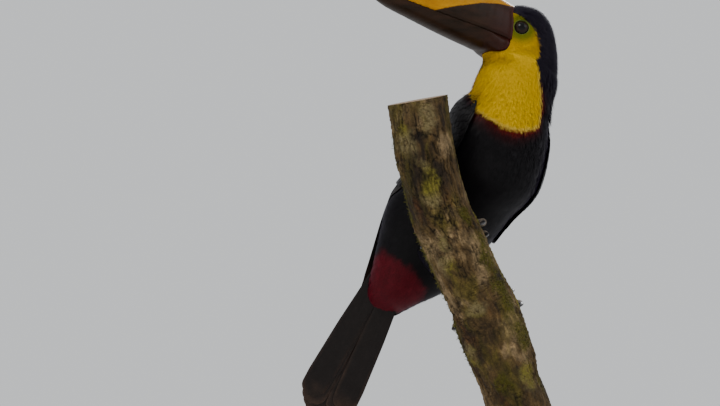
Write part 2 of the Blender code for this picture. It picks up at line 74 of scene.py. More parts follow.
# ---------------------------------------------------------------- the solids' driving dimensions
BILL_LENGTH = 155.0
EYE_RADIUS = 7.2
TAIL_LENGTH = 152.0
TAIL_HALF_WIDTH = 28.0
TAIL_ARCH = 5.0
WING_THICKNESS = 3.2
WING_HALF_WIDTH = 34.0
WING_TOP = {1: 8.75, -1: 9.1}  # section number of each wing's bend; the right shoulder is drawn up
WING_BEND = {1: 0.0, -1: 5.5}  # how much more each shoulder stands out
WING_END = 2.15  # section number of the tips
BRANCH_RADIUS = 26.0
BRANCH_SAWN_LEVEL = 203.0
CLAW_LENGTH = 12.0
TOE_LENGTHS = {"inner_front": 31.0, "outer_front": 40.0, "inner_rear": 24.0, "outer_rear": 36.0}


def unit(v):
    return v / np.linalg.norm(v, axis=-1, keepdims=True)


def dot(a, b):
    return (a * b).sum(-1)


# The head's own frame: its origin is the middle of the bill's root.
HEAD_ORIGIN = np.array((31.9, -28.6, 542.1))
HEAD_FORWARD = unit(np.array((-0.8944, -0.3939, 0.2118)))
HEAD_ROLL = math.radians(10)
LEVEL_LEFT = unit(np.cross(HEAD_FORWARD, (0, 0, -1)))
LEVEL_UP = unit(np.cross(HEAD_FORWARD, LEVEL_LEFT))
HEAD_LEFT = LEVEL_LEFT * math.cos(HEAD_ROLL) - LEVEL_UP * math.sin(HEAD_ROLL)
HEAD_UP = LEVEL_UP * math.cos(HEAD_ROLL) + LEVEL_LEFT * math.sin(HEAD_ROLL)
BODY_LEFT = unit(np.array((0.8108, 0.4644, -0.3562)))

# Sections of the trunk and neck, from the tail coverts up:
# centre x, y, z, then how far the section reaches to the left, right, belly and back.
BODY_SECTIONS = np.array((
    (-81.5, 93.6, 310.9, 9.0, 9.0, 3.0, 3.0),
    (-75.9, 86.9, 320.4, 20.0, 20.0, 10.0, 5.5),
    (-68.9, 78.4, 331.8, 29.5, 26.0, 18.0, 10.0),
    (-50.1, 62.4, 356.8, 51.0, 39.5, 27.0, 22.0),
    (-33.3, 45.8, 377.5, 53.5, 50.5, 32.5, 30.0),
    (-22.3, 33.8, 391.7, 52.0, 49.5, 35.0, 35.0),
    (-2.6, 15.3, 411.8, 50.5, 45.5, 38.5, 38.5),
    (14.8, -0.5, 425.6, 48.0, 45.5, 43.0, 40.5),
    (25.2, -12.3, 447.4, 42.5, 45.0, 38.0, 38.0),
    (31.5, -16.6, 468.7, 37.5, 37.5, 33.0, 33.5),
    (36.3, -18.6, 486.3, 36.3, 36.0, 29.0, 30.0),
))
# Sections of the head: height above the bill's root, how far it reaches behind the root and in
# front of it, its half width and its roundness. The last one closes the crown.
HEAD_SECTIONS = np.array((
    (-37.0, 56.5, 13.0, 27.5, 2.2),
    (-29.5, 55.0, 16.5, 26.0, 2.0),
    (-22.0, 52.5, 9.0, 25.0, 2.4),
    (-11.0, 49.0, 8.5, 24.5, 2.5),
    (0.0, 44.5, 9.0, 23.5, 2.5),
    (10.0, 39.0, 10.0, 21.5, 2.5),
    (18.0, 33.0, 5.5, 17.0, 2.5),
    (22.8, 26.0, -0.5, 11.0, 2.5),
    (25.4, 18.0, -8.0, 4.5, 2.5),
    (26.1, 14.5, -11.5, 1.0, 2.5),
))
BODY_ROUNDNESS = 2.15
CROWN = 20.0  # section number of the top of the head

# Bill: share of its length, heights of ridge, gape line and underside, half width
BILL_OUTLINE = np.array((
    (-0.06, 18.5, -15.2, -27.4, 18.0),
    (0.00, 20.3, -15.2, -28.8, 18.0),
    (0.10, 23.0, -15.0, -29.2, 17.8),
    (0.20, 24.3, -15.0, -29.0, 17.2),
    (0.35, 23.6, -15.4, -28.2, 15.6),
    (0.50, 20.6, -15.6, -26.8, 13.6),
    (0.65, 15.2, -15.6, -25.0, 11.2),
    (0.78, 8.2, -16.2, -23.6, 8.8),
    (0.88, 0.2, -17.6, -23.0, 6.4),
    (0.95, -8.2, -20.4, -24.0, 4.2),
    (1.00, -20.0, -25.6, -26.0, 1.2),
))
LOWER_BILL_SHARE = 0.955

TAIL_ROOT = np.array((-71.5, 70.5, 343.0))
TAIL_ALONG = unit(np.array((-0.4606, 0.3261, -0.8416)))
TAIL_BELLY = np.array((0.12, -0.923, -0.365))  # roughly towards the tail's underside

# Branch: centre line from the sawn foot to the upper cut
BRANCH_LINE = np.array((
    (40.0, 24.5, 196.0),
    (29.3, 13.1, 231.8),
    (17.3, 2.6, 260.7),
    (6.5, -7.8, 289.6),
    (-6.7, -16.9, 314.3),
    (-19.6, -29.0, 345.2),
    (-31.5, -39.8, 372.0),
    (-43.6, -58.5, 416.4),
    (-51.3, -75.2, 455.0),
))
BRANCH_BACK = np.array((0.0, 0.951, 0.309))

# Legs: where each foot holds the branch (place along its line, degrees round it), the heel and
# the hip, and the side of its inner toes
LEGS = {
    "r": {"hold": (5.0, 14.0), "heel": (-33.0, 22.0, 335.5), "hip": (-40.0, 38.0, 370.0), "inner": -1},
    "l": {"hold": (2.98, 0.0), "heel": (-2.3, 32.1, 338.2), "hip": (-8.0, 48.0, 368.0), "inner": 1},
}
# Radius of the thigh by share of the way from heel to hip
THIGH_GIRTH = np.array(((-0.10, 5.4), (0.02, 7.2), (0.2, 9.6), (0.5, 12.4), (0.8, 13.5), (1.1, 13.5)))
THIGH_COAT = 1.6  # how far the thigh's skin lies inside its coat
PAD_SIZE = (8.2, 9.6, 5.2)  # half sizes of a foot's pad: across the branch, along it, out from it

# ---------------------------------------------------------------- colours, linear
BLACK = (0.0038, 0.0032, 0.0040)
# violet black: partly the plumage's own dark tinge, partly a painted violet sheen of its gloss
VIOLET_SHEEN_BLACK = (0.0058, 0.0034, 0.0095)
BIB = (0.62, 0.385, 0.0005)
# darker yellow: painted shadow of the bill on the throat, and partly a deeper ochre near the bill's base
BIB_SHADED_OCHRE = (0.34, 0.19, 0.0005)
BIB_EDGE = (0.66, 0.50, 0.12)
FACE_GREEN = (0.060, 0.078, 0.0012)
BAND_RED = (0.030, 0.0010, 0.0012)
BAND_BRIGHT = (0.130, 0.0075, 0.0030)
COVERT_RED = (0.080, 0.0024, 0.0072)
COVERT_WHITE = (0.62, 0.58, 0.50)
TAIL_BLACK = (0.0105, 0.0075, 0.0070)
WORN_BROWN = (0.060, 0.034, 0.022)


# ---------------------------------------------------------------- numbers
def smooth_step(low, high, x):
    share = np.clip((x - low) / (high - low), 0.0, 1.0)
    return share * share * (3 - 2 * share)


def bell(x, width):
    """1 where x is zero, and near 0 at twice the width to either side."""
    return np.exp(-((x / width) ** 2))


def turn_past(base, turn):
    """How many degrees turn lies past base, the short way round."""
    return (turn - base + 180) % 360 - 180


def ring_of(across, over, turn):
    """Directions round a circle, from across towards over."""
    return across * np.cos(turn)[:, None] + over * np.sin(turn)[:, None]


def mix(a, b, share):
    share = np.asarray(share, float)[..., None]
    return np.asarray(a, float) * (1 - share) + np.asarray(b, float) * share


def spline(values, t):
    """Catmull-Rom through equally spaced rows, at every t in steps of one."""
    values = np.asarray(values, float)
    t = np.asarray(t, float)
    last = len(values) - 1
    i = np.clip(np.floor(t).astype(int), 0, last - 1)
    x = (t - i)[(...,) + (None,) * (values.ndim - 1)]
    a, b, c, d = (values[np.clip(i + k, 0, last)] for k in (-1, 0, 1, 2))
    return 0.5 * (2 * b + (c - a) * x + (2 * a - 5 * b + 4 * c - d) * x**2 + (3 * b - a - 3 * c + d) * x**3)


def table(rows, x):
    """Each column of a table after its first, smoothly interpolated at x of the first."""
    rows = np.asarray(rows, float)
    i = np.clip(np.searchsorted(rows[:, 0], x, side="right") - 1, 0, len(rows) - 2)
    share = (x - rows[i, 0]) / (rows[i + 1, 0] - rows[i, 0])
    return np.moveaxis(spline(rows[:, 1:], i + share), -1, 0)


def rounded(share, exponent):
    """Signed power that turns a circle's coordinate into a superellipse's."""
    return np.sign(share) * np.abs(share) ** (2 / exponent)


def hashed(cell, seed):
    """A number from 0 to 1 for each whole-numbered cell."""
    x, y, z = (cell[..., k].astype(np.int64) for k in range(3))
    n = (x * 374761393 + y * 668265263 + z * 2147483647 + seed * 974634777) & 0xFFFFFFFF
    n = ((n ^ (n >> 13)) * 1274126177) & 0xFFFFFFFF
    n = ((n ^ (n >> 16)) * 2246822519) & 0xFFFFFFFF
    return ((n ^ (n >> 15)) & 0xFFFFFF) / float(0xFFFFFF)


def noise(points, size, seed=0):
    """Smooth noise from -1 to 1 with features of this size."""
    at = np.asarray(points, float) / size
    cell = np.floor(at)
    x = at - cell
    x = x * x * (3 - 2 * x)
    total = 0.0
    for corner in np.ndindex(2, 2, 2):
        weight = np.prod(np.where(np.array(corner) == 1, x, 1 - x), axis=-1)
        total = total + weight * hashed(cell + np.array(corner), seed)
    return 2 * total - 1


def fractal(points, size, octaves, seed=0):
    """Noise of this size with finer and weaker noise over it."""
    total, strength, height = 0.0, 0.0, 1.0
    for k in range(octaves):
        total = total + height * noise(points, size / 2**k, seed + 17 * k)
        strength += height
        height *= 0.55
    return total / strength


def wander(points, size, seed):
    """A smoothly changing direction at each point."""
    return np.stack([noise(points, size, seed + k) for k in range(3)], -1)


# ---------------------------------------------------------------- meshes
FINISHES = {}


def add_object(name, data):
    made = bpy.data.objects.new(name, data)
    bpy.context.scene.collection.objects.link(made)
    return made


def dress(made, finish):
    made.data.materials.append(FINISHES[finish])


def add_mesh(name, points, faces, finish, slot, tints=None, patches=None, vanes=None):
    """An object on the root body from points in millimetres and arrays of faces with 3 or 4 corners."""
    mesh = bpy.data.meshes.new(name)
    mesh.vertices.add(len(points))
    mesh.vertices.foreach_set("co", (points * MM).astype(np.float32).ravel())
    corners = np.concatenate([part.ravel() for part in faces])
    sizes = np.concatenate([np.full(len(part), part.shape[1]) for part in faces])
    starts = np.concatenate([[0], np.cumsum(sizes)[:-1]])
    mesh.loops.add(len(corners))
    mesh.loops.foreach_set("vertex_index", corners.astype(np.int32))
    mesh.polygons.add(len(sizes))
    mesh.polygons.foreach_set("loop_start", starts.astype(np.int32))
    mesh.update(calc_edges=True)
    mesh.polygons.foreach_set("use_smooth", np.ones(len(sizes), bool))
    if tints is not None:
        colours = np.column_stack([tints, np.ones(len(tints))]).astype(np.float32)
        mesh.color_attributes.new("tint", "FLOAT_COLOR", "POINT").data.foreach_set("color", colours.ravel())
    for title, places in (("OFBake", patches), ("vane", vanes)):
        if places is not None:
            layer = mesh.uv_layers.new(name=title)
            layer.data.foreach_set("uv", places[corners].astype(np.float32).ravel())
    mesh.validate()
    made = add_object(name, mesh)
    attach(made, BODY)
    dress(made, finish)
    return made


def tell(mesh, title, values):
    """A number at each vertex for the materials to read."""
    mesh.attributes.new(title, "FLOAT", "POINT").data.foreach_set("value", np.asarray(values, np.float32))


def fix_normals(made):
    """Turns every face of a closed mesh outwards."""
    bm = bmesh.new()
    bm.from_mesh(made.data)
    bmesh.ops.recalc_face_normals(bm, faces=bm.faces)
    bm.to_mesh(made.data)
    bm.free()


def capped(grid, beyond=0.0):
    """The closed mesh of a grid of rings: its points, then its quads and the fans at its ends."""
    rows, columns, _ = grid.shape
    points = np.vstack([grid.reshape(-1, 3), grid[0].mean(0), grid[-1].mean(0) + beyond])
    ring = np.arange(columns)
    following = (ring + 1) % columns
    last = (rows - 1) * columns
    low = np.stack([following, ring, np.full(columns, rows * columns)], -1)
    high = np.stack([last + ring, last + following, np.full(columns, rows * columns + 1)], -1)
    return points, [grid_faces(rows, columns, closed=True), np.vstack([low, high])]


def grid_faces(rows, columns, closed=False):
    """Quads of a grid of points stored row by row; closed joins the last column to the first."""
    index = np.arange(rows * columns).reshape(rows, columns)
    if closed:
        index = np.hstack([index, index[:, :1]])
    return np.stack([index[:-1, :-1], index[:-1, 1:], index[1:, 1:], index[1:, :-1]], -1).reshape(-1, 4)


class Coat:
    """Collects the vanes of one piece, then makes them one mesh."""

    def __init__(self):
        self.points, self.faces, self.tints = [], [], []
        self.patches, self.vanes, self.normals = [], [], []
        self.count = 0

    def add(self, points, tints, roots, patch=0.003, normals=None):
        """Grids of points (vane, row, column, xyz) with colours, and their roots' places on the unwrap.

        Soft plumage is shaded mostly by the body's own normals, one for each row of a vane.
        """
        many, rows, columns, _ = points.shape
        faces = grid_faces(rows, columns)[None] + (np.arange(many) * rows * columns)[:, None, None]
        if normals is not None:
            faces = faces[..., ::-1]
            self.normals.append(np.broadcast_to(normals[:, :, None], points.shape).reshape(-1, 3))
        self.faces.append(faces.reshape(-1, 4) + self.count)
        self.count += many * rows * columns
        self.points.append(points.reshape(-1, 3))
        self.tints.append(np.broadcast_to(tints, points.shape).reshape(-1, 3))
        across, along = np.meshgrid(np.linspace(0, 1, columns), np.linspace(0, 1, rows))
        local = np.stack([across, along], -1)[None]
        self.patches.append((roots[:, None, None] + (local - 0.5) * np.array(patch)).reshape(-1, 2))
        self.vanes.append(np.broadcast_to(local, (many, rows, columns, 2)).reshape(-1, 2))

    def make(self, name, finish, slot="feathers_black"):
        parts = (self.points, self.tints, self.patches, self.vanes)
        points, *layers = (np.concatenate(part) for part in parts)
        made = add_mesh(name, points, self.faces, finish, slot, *layers)
        if self.normals:
            soften(made.data, np.concatenate(self.normals))
        return made


def soften(mesh, body_normals, share=0.75):
    """Turns the shading normals towards the body's, as loose plumage scatters light."""
    own = np.empty(len(mesh.vertices) * 3, np.float32)
    mesh.vertex_normals.foreach_get("vector", own)
    own = own.reshape(-1, 3)
    own = own * np.where(dot(own, body_normals) < 0, -1, 1)[:, None]
    mesh.normals_split_custom_set_from_vertices(unit(own * (1 - share) + body_normals * share))


# ---------------------------------------------------------------- body surface
def head_point(forward, left, up):
    forward, left, up = (np.asarray(v, float)[..., None] for v in (forward, left, up))
    return HEAD_ORIGIN + HEAD_FORWARD * forward + HEAD_LEFT * left + HEAD_UP * up


def in_head(points):
    """How far forward, left and up of the bill's root each point is."""
    off = points - HEAD_ORIGIN
    return off @ HEAD_FORWARD, off @ HEAD_LEFT, off @ HEAD_UP


def body_stations():
    """Centre, axis, left, reaches and roundness of every section, from tail to crown."""
    low = len(BODY_SECTIONS)
    height, back, front, half, round_head = HEAD_SECTIONS.T
    centres = np.vstack([BODY_SECTIONS[:, :3], head_point((front - back) / 2, 0 * height, height)])
    axes = np.tile(HEAD_UP, (len(centres), 1))
    for i in range(low):
        axes[i] = unit(centres[i + 1] - centres[max(i - 1, 0)])
    lefts = np.vstack([np.tile(BODY_LEFT, (low, 1)), np.tile(-HEAD_FORWARD, (len(height), 1))])
    lefts = unit(lefts - axes * dot(lefts, axes)[:, None])
    length = (front + back) / 2
    reaches = np.vstack([BODY_SECTIONS[:, 3:], np.stack([length, length, half, half], 1)])
    roundness = np.concatenate([np.full(low, BODY_ROUNDNESS), round_head])
    return centres, axes, lefts, reaches, roundness


CENTRES, AXES, LEFTS, REACHES, ROUNDNESS = body_stations()


def body_point(t, turn, grow=0.0):
    """A point of the outline: t is the section number, turn 0 its left, 90 belly, 180 right, 270 back."""
    t, turn = np.broadcast_arrays(np.asarray(t, float), np.asarray(turn, float))
    axis = unit(spline(AXES, t))
    left = spline(LEFTS, t)
    left = unit(left - axis * dot(left, axis)[..., None])
    belly = np.cross(left, axis)
    reach = spline(REACHES, t)
    i = np.clip(t.astype(int), 0, len(ROUNDNESS) - 2)
    roundness = ROUNDNESS[i] + (ROUNDNESS[i + 1] - ROUNDNESS[i]) * (t - i)
    c, s = np.cos(np.radians(turn)), np.sin(np.radians(turn))
    across = rounded(c, roundness) * (np.where(c > 0, reach[..., 0], reach[..., 1]) + grow)
    out = rounded(s, roundness) * (np.where(s > 0, reach[..., 2], reach[..., 3]) + grow)
    return spline(CENTRES, t) + left * across[..., None] + belly * out[..., None]


def body_slopes(t, turn):
    """Steps of the outline per section and per degree, and its outward normal."""
    up = (body_point(t + 0.03, turn) - body_point(t - 0.03, turn)) / 0.06
    round_it = (body_point(t, turn + 1.0) - body_point(t, turn - 1.0)) / 2.0
    normal = np.cross(up, round_it)
    outward = body_point(t, turn) - spline(CENTRES, t)
    normal = unit(normal) * np.sign(dot(normal, outward))[..., None]
    return up, round_it, normal


def unwrap(t, turn):
    """The skin's own unwrap: round the body by length along it."""
    return np.stack([0.02 + 0.96 * (turn % 360) / 360, 0.02 + 0.96 * np.clip(t / CROWN, 0, 1)], -1)


def eye_centre(side):
    low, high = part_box("eye_" + side)
    return (np.array(low) + np.array(high)) / 2 / MM


def eye_outward(sign):
    """The way an eye looks out, square to the head's outline."""
    turn = 180 - sign * (180 - EYE_TURN)
    return body_slopes(np.array([EYE_SECTION]), np.array([turn]))[2][0]


EYE_SECTION = 14.83
EYE_TURN = 118.0  # degrees of the left eye; the right one mirrors it
EYES = {sign: eye_centre(side) for side, sign in SIDES.items()}
EYE_OUT = {sign: eye_outward(sign) for sign in EYES}

# The bib: section, then the degrees of its left and right borders. It turns with the neck.
BIB_SIDES = (
    (8.90, 68, 196), (9.40, 70, 224), (10.00, 76, 240), (10.50, 82, 250),
    (11.80, 85, 271), (13.50, 87, 273), (14.60, 90, 270), (15.13, 96, 264),
    (15.56, 109, 251), (15.84, 126, 234), (16.07, 144, 216), (16.30, 166, 194),
)
# Its lower border: degrees, then section
BIB_LOW = (
    (0, 9.6), (40, 8.9), (68, 8.5), (81, 8.29), (96, 8.15), (110, 8.12),
    (132, 8.22), (158, 8.38), (196, 8.9), (225, 9.5), (260, 10.8), (360, 12),
)
BIB_TOP = 16.25
TRUNK_STEP = 20.0  # about how long one section of the trunk is
HEAD_STEP = 9.0
TAIL_DEGREE = 0.42  # how long one degree is round the root of the tail


def bib_depth(t, turn):
    """How far inside the bib's border a place is, in millimetres; below zero is outside."""
    turn = turn % 360
    left, right = table(BIB_SIDES, np.clip(t, BIB_SIDES[0][0], BIB_SIDES[-1][0]))
    radius = 34 - 9 * smooth_step(9, 13, t)
    side = np.minimum(turn - left, right - turn) * radius * math.pi / 180
    low = (t - np.interp(turn, *np.array(BIB_LOW).T)) * np.where(t < 11, TRUNK_STEP, HEAD_STEP)
    top = (BIB_TOP - t) * HEAD_STEP
    return np.minimum(np.minimum(side, top), low) - 1.6 * wing_bend(t, turn)


def covert_depth(t, turn):
    """How far inside the red patch under the tail a place is, in millimetres."""
    off = (turn % 360) - 125
    upper = (2.88 - 0.42 * (off / 62) ** 2 - t) * TRUNK_STEP
    half = 90 - 8 * smooth_step(1.2, 2.8, t) - 35 * smooth_step(0.9, 0.3, t)
    return np.minimum(upper, (half - np.abs(off)) * TAIL_DEGREE)


def rump_depth(t, turn):
    """How far inside the white patch over the tail a place is, in millimetres."""
    off = (turn % 360) - 270
    return np.minimum((2.5 - t) * TRUNK_STEP, (52 - np.abs(off)) * TAIL_DEGREE)


def eye_distance(points):
    """Distance from the nearer eye's axis, and height out from that eye's centre."""
    reach, height = np.full(points.shape[:-1], 1e3), np.zeros(points.shape[:-1])
    for sign in (1, -1):
        off = points - EYES[sign]
        out = off @ EYE_OUT[sign]
        away = np.linalg.norm(off - out[..., None] * EYE_OUT[sign], axis=-1)
        near = (out > -4) & (away < reach)
        reach = np.where(near, away, reach)
        height = np.where(near, out, height)
    return reach, height


def bareness(points):
    """1 on the bare skin of the face, round the eye and up to the bill."""
    forward, _, up = in_head(points)
    across = (forward + 3.5) / np.where(forward > -3.5, 19.0, 13.5)
    high = (up + 3.5) / np.where(up > -3.5, 13.0, 15.0)
    return 1 - smooth_step(0.75, 1.15, np.hypot(across, high))


def markings(t, turn, waver=0.0):
    """The plumage's and the skin's colour at each place; waver shifts the bib's border."""
    points = body_point(t, turn)
    # towards the nape and crown the black turns violet: partly a painted violet sheen of the glossy plumage,
    # partly its own dark tinge
    nape = smooth_step(8.4, 11, t)
    tint = mix(BLACK, VIOLET_SHEEN_BLACK, nape)
    patch = covert_depth(t, turn) + 1.6 * noise(points, 5.0, 3)
    tint = mix(tint, COVERT_RED, smooth_step(-3.0, 1.5, patch))
    rump = rump_depth(t, turn) + 1.2 * noise(points, 5.0, 4)
    tint = mix(tint, COVERT_WHITE, smooth_step(-1.0, 1.5, rump))
    inside = bib_depth(t, turn) + 0.35 * noise(points, 4.0, 5) + waver
    band = smooth_step(-10.5, -0.5, inside) ** 1.5 * (1 - smooth_step(9.2, 10.6, t))
    bright = smooth_step(-4.0, -0.5, inside) * (0.35 + 0.65 * smooth_step(60, 110, 190 - turn % 360))
    tint = mix(tint, mix(BAND_RED, BAND_BRIGHT, bright), band)
    # painted shadow of the bill: the throat under it darker; then a darker yellow near the bill's base,
    # partly painted shade and partly a deeper ochre
    yellow = mix(BIB, BIB_SHADED_OCHRE, 0.95 * smooth_step(10.1, 11.2, t) * smooth_step(105, 145, turn % 360))
    yellow = mix(yellow, BIB_SHADED_OCHRE, 0.8 * smooth_step(12.0, 13.2, t))
    reach, _ = eye_distance(points)
    yellow = mix(yellow, FACE_GREEN, 0.9 * (1 - smooth_step(9.0, 19.0, reach)))
    edge = smooth_step(2.6, 0.4, inside) * (1 - smooth_step(9.5, 11.5, t))
    yellow = mix(yellow, BIB_EDGE, 0.55 * edge)
    return mix(tint, yellow, smooth_step(-0.5, 0.5, inside))


# ---------------------------------------------------------------- wings
def wing_middle(sign, u):
    """Section number and degrees above the side line of the wing's middle at u, bend to tip."""
    return WING_TOP[sign] - (WING_TOP[sign] - WING_END) * u, 4 + 52 * smooth_step(0.05, 0.95, u)


def wing_half(u):
    """Half the wing's width at u."""
    swell = np.sin(math.pi * np.minimum(u * 0.62 + 0.10, 1.0)) ** 0.8
    return WING_HALF_WIDTH * swell * (1 - 0.62 * smooth_step(0.55, 1, u))


def tail_frame():
    """Directions towards the tail's underside and to the bird's left of it."""
    belly = unit(TAIL_BELLY - TAIL_ALONG * (TAIL_BELLY @ TAIL_ALONG))
    side = unit(np.cross(TAIL_ALONG, belly))
    return belly, side * np.sign(side @ BODY_LEFT)


def tail_point(along, across, below=0.0):
    """A point of the tail: distance down it, to the bird's left, and towards its belly."""
    belly, left = tail_frame()
    along, across, below = np.broadcast_arrays(along, across, below)
    return TAIL_ROOT + TAIL_ALONG * along[..., None] + left * across[..., None] + belly * below[..., None]


def wing_point(sign, u, w, out=0.0):
    """A point of the folded wing: u from bend to tip, w from lower edge to upper, out from its middle."""
    u, w, out = np.broadcast_arrays(np.asarray(u, float), np.asarray(w, float), np.asarray(out, float))
    section, above = wing_middle(sign, u)
    near_end = np.maximum(np.maximum(1 - u / 0.12, (u - 0.88) / 0.12), 0.0)
    half = wing_half(np.clip(u, 0, 1)) * np.sqrt(np.maximum(1 - 0.85 * near_end**2, 0.05))
    reach = spline(REACHES, section)
    radius = (reach[..., 0] + reach[..., 3]) / 2
    degrees = above + np.degrees(w * half / radius)
    around = -degrees if sign > 0 else 180 + degrees
    bulge = WING_THICKNESS * ((1.0 - 0.45 * w * w) * (0.55 + 0.45 * smooth_step(0, 0.15, u)) - 1)
    bulge = bulge + WING_BEND[sign] * bell(u - 0.07, 0.10) * (1 - 0.7 * w * w)
    on_body = body_point(section, around, bulge + 1.3 + out)
    along = -38 + 105 * (u - 0.45) / 0.55
    over_tail = tail_point(along, sign * (9 + 0.55 * half * -w + 6 * (1 - u)), -15 + 5 * np.abs(w) - out)
    return mix(on_body, over_tail, smooth_step(0.66, 1.0, u))


def on_wings(t, turn):
    """Each wing's side, and the u and w at which it covers a place of the body."""
    reach = spline(REACHES, t)
    radius = (reach[..., 0] + reach[..., 3]) / 2
    turn = turn % 360
    for sign, degrees in ((1, turn_past(turn, 360)), (-1, turn - 180)):
        u = (WING_TOP[sign] - t) / (WING_TOP[sign] - WING_END)
        half = wing_half(np.clip(u, 0.02, 1))
        yield sign, u, np.radians(degrees - wing_middle(sign, u)[1]) * radius / half


def wing_raise(t, turn):
    """How far the folded arm lifts the skin at a place of the body."""
    rise = np.zeros(np.shape(t))
    for _, u, w in on_wings(t, turn):
        near = (1 - smooth_step(0.72, 1.12, np.abs(w))) * smooth_step(-0.08, 0.06, u)
        rise = np.maximum(rise, near * 3.0 * (1 - smooth_step(0.50, 0.72, u)))
    return rise + wing_bend(t, turn)


def wing_bend(t, turn):
    """How much more the drawn-up shoulder lifts it."""
    rise = np.zeros(np.shape(t))
    for sign, u, w in on_wings(t, turn):
        near = (1 - smooth_step(0.60, 1.0, np.abs(w))) * smooth_step(-0.03, 0.06, u)
        rise = rise + WING_BEND[sign] * near * bell(u - 0.07, 0.10)
    return rise


# ---------------------------------------------------------------- skin
def bill_measure(points, room=0.0):
    """Below 1 inside the bill made this much larger, and growing away from it."""
    forward, left, up = in_head(points)
    share = np.clip(forward / BILL_LENGTH, -0.06, 1)
    ridge, gape, under, half = table(BILL_OUTLINE, share)
    high = np.where(up > gape, (up - gape) / (ridge - gape + room), (gape - up) / (gape - under + room))
    return (np.abs(left) / (half + room)) ** 2.4 + np.abs(high) ** 2.4 + np.where(forward > -10, 0.0, 9.0)


def coat_depth(t, turn):
    """How far the skin lies inside the outline, which is that of the coat."""
    points = body_point(t, turn)
    depth = 2.8 - 0.8 * smooth_step(8.5, 11, t) - 0.6 * smooth_step(13, 15.5, t)
    depth = depth - (depth - 0.55) * bareness(points)
    return depth * (1 - 0.85 * smooth_step(1.7, 1.15, bill_measure(points)))


def skin_point(t, turn):
    """A point of the skin, under the coat and over the folded arms."""
    return body_point(t, turn, wing_raise(t, turn) - coat_depth(t, turn))


# Distance from the eye's axis, and the skin's height over the eye's centre there
EYELID = (
    (0.0, 0.5), (5.4, 1.2), (6.1, 3.2), (6.4, 4.1), (6.8, 4.6),
    (7.3, 4.6), (7.8, 4.25), (8.4, 4.3), (60.0, 4.3),
)
EYE_REACH = 24  # how far round an eye the skin is shaped to it
LID_GREEN = (0.085, 0.115, 0.028)


def with_eyelids(points):
    """Sinks the skin round each eye to its socket, with a ring of lid against the eyeball."""
    reach, height = eye_distance(points)
    near = 1 - smooth_step(7.2, 11.5, reach)
    lid = np.interp(reach, *np.array(EYELID).T)
    crease = 0.10 * np.cos((reach - 7.4) * 2 * math.pi / 1.5) * smooth_step(7.4, 8.2, reach)
    crease = crease * (1 - smooth_step(10.5, 14.5, reach))
    pimples = 0.16 * fractal(points, 1.7, 2, 31) * smooth_step(6.8, 8.5, reach) * bareness(points)
    target = height + (lid - height) * near + (crease + pimples) * (reach < EYE_REACH)
    move = np.where(reach < EYE_REACH, target - height, 0.0)
    out = np.where((in_head(points)[1] > 0)[..., None], EYE_OUT[1], EYE_OUT[-1])
    return points + out * move[..., None]


def body_skin():
    """Rings of points and colours from the tail's root to the crown, closer together on the head."""
    t = np.concatenate([np.linspace(0, 11, 110, endpoint=False), np.linspace(11, 19.6, 165), [19.9, 20.0]])
    turn = np.linspace(0, 360, 320, endpoint=False)
    t, turn = np.meshgrid(t, turn, indexing="ij")
    points = with_eyelids(skin_point(t, turn))
    tints = markings(t, turn)
    reach, _ = eye_distance(points)
    lid = smooth_step(6.15, 6.4, reach) * (1 - smooth_step(6.9, 7.3, reach))
    tints = mix(tints, LID_GREEN, 0.9 * lid)
    tints = tints * (1 - 0.85 * smooth_step(6.35, 6.0, reach))[..., None]
    return points, tints


def thigh_frame(side):
    """Heel, hip and two directions across the thigh."""
    heel, hip = (np.array(LEGS[side][key]) for key in ("heel", "hip"))
    run = unit(hip - heel)
    across = unit(np.cross(run, foot_place(side)[1]))
    return heel, hip, across, np.cross(run, across)


def thigh_grid(side):
    """The thigh's skin, from just past the heel into the trunk."""
    heel, hip, across, over = thigh_frame(side)
    share = np.linspace(-0.06, 1.0, 30)
    radius = np.interp(share, *THIGH_GIRTH.T) - THIGH_COAT
    ring = ring_of(across, over, np.linspace(0, 2 * math.pi, 28, endpoint=False))
    centre = heel + (hip - heel) * share[:, None]
    return centre[:, None] + ring[None] * radius[:, None, None]


def flattened(grid, tints):
    """The points, colours and faces of a grid whose rows are closed rings."""
    return grid.reshape(-1, 3), tints.reshape(-1, 3), grid_faces(*grid.shape[:2], closed=True)


def make_skin():
    """One mesh for the flesh of body, thighs, shanks and feet."""
    pieces = [flattened(*body_skin())]
    for side in LEGS:
        thigh = thigh_grid(side)
        pieces += [flattened(thigh, np.broadcast_to(BLACK, thigh.shape)), leg_skin(side)]
    points, tints, faces = zip(*pieces)
    starts = np.cumsum([0] + [len(part) for part in points])
    faces = [face + start for face, start in zip(faces, starts)]
    skin = add_mesh("skin", np.concatenate(points), faces, "skin", "feathers_black", np.concatenate(tints))
    flesh = ["head", "neck", "torso"]
    for side in LEGS:
        flesh += ["thigh_" + side, "tarsus_" + side, "foot_" + side]
        flesh += ["toe_" + side + "_" + toe for toe in TOE_LENGTHS]
    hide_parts(*flesh)


# ---------------------------------------------------------------- coat
def lie_at(t, normal):
    """The direction in which the plumage lies: down the body, and back from the bill on the head."""
    down = -unit(spline(AXES, t))
    back = unit(-0.80 * HEAD_FORWARD - 0.60 * HEAD_UP)
    share = smooth_step(10.8, 13.4, t)[..., None]
    lie = down * (1 - share) + back * share
    return unit(lie - normal * dot(lie, normal)[..., None])


def step_along(t, turn, lengths, swerve=0.0):
    """Normal and lie at each spot of the body, and the spot that many millimetres on along the lie."""
    up, around, normal = body_slopes(t, turn)
    lie = lie_at(t, normal)
    lie = unit(lie + np.cross(normal, lie) * np.reshape(swerve, (-1, 1)))
    step = lie * np.reshape(lengths, (-1, 1))
    uu, ua, aa = dot(up, up), dot(up, around), dot(around, around)
    su, sa = dot(up, step), dot(around, step)
    full = np.maximum(uu * aa - ua * ua, 1e-9)
    new_t = np.clip(t + (su * aa - sa * ua) / full, 0.03, 19.8)
    return normal, lie, new_t, turn + (uu * sa - ua * su) / full


def ahead(t, turn, distance):
    """Where a feather rooted at each spot ends, this far on along its lie."""
    for _ in range(2):
        _, _, t, turn = step_along(t, turn, distance / 2)
    return t, turn


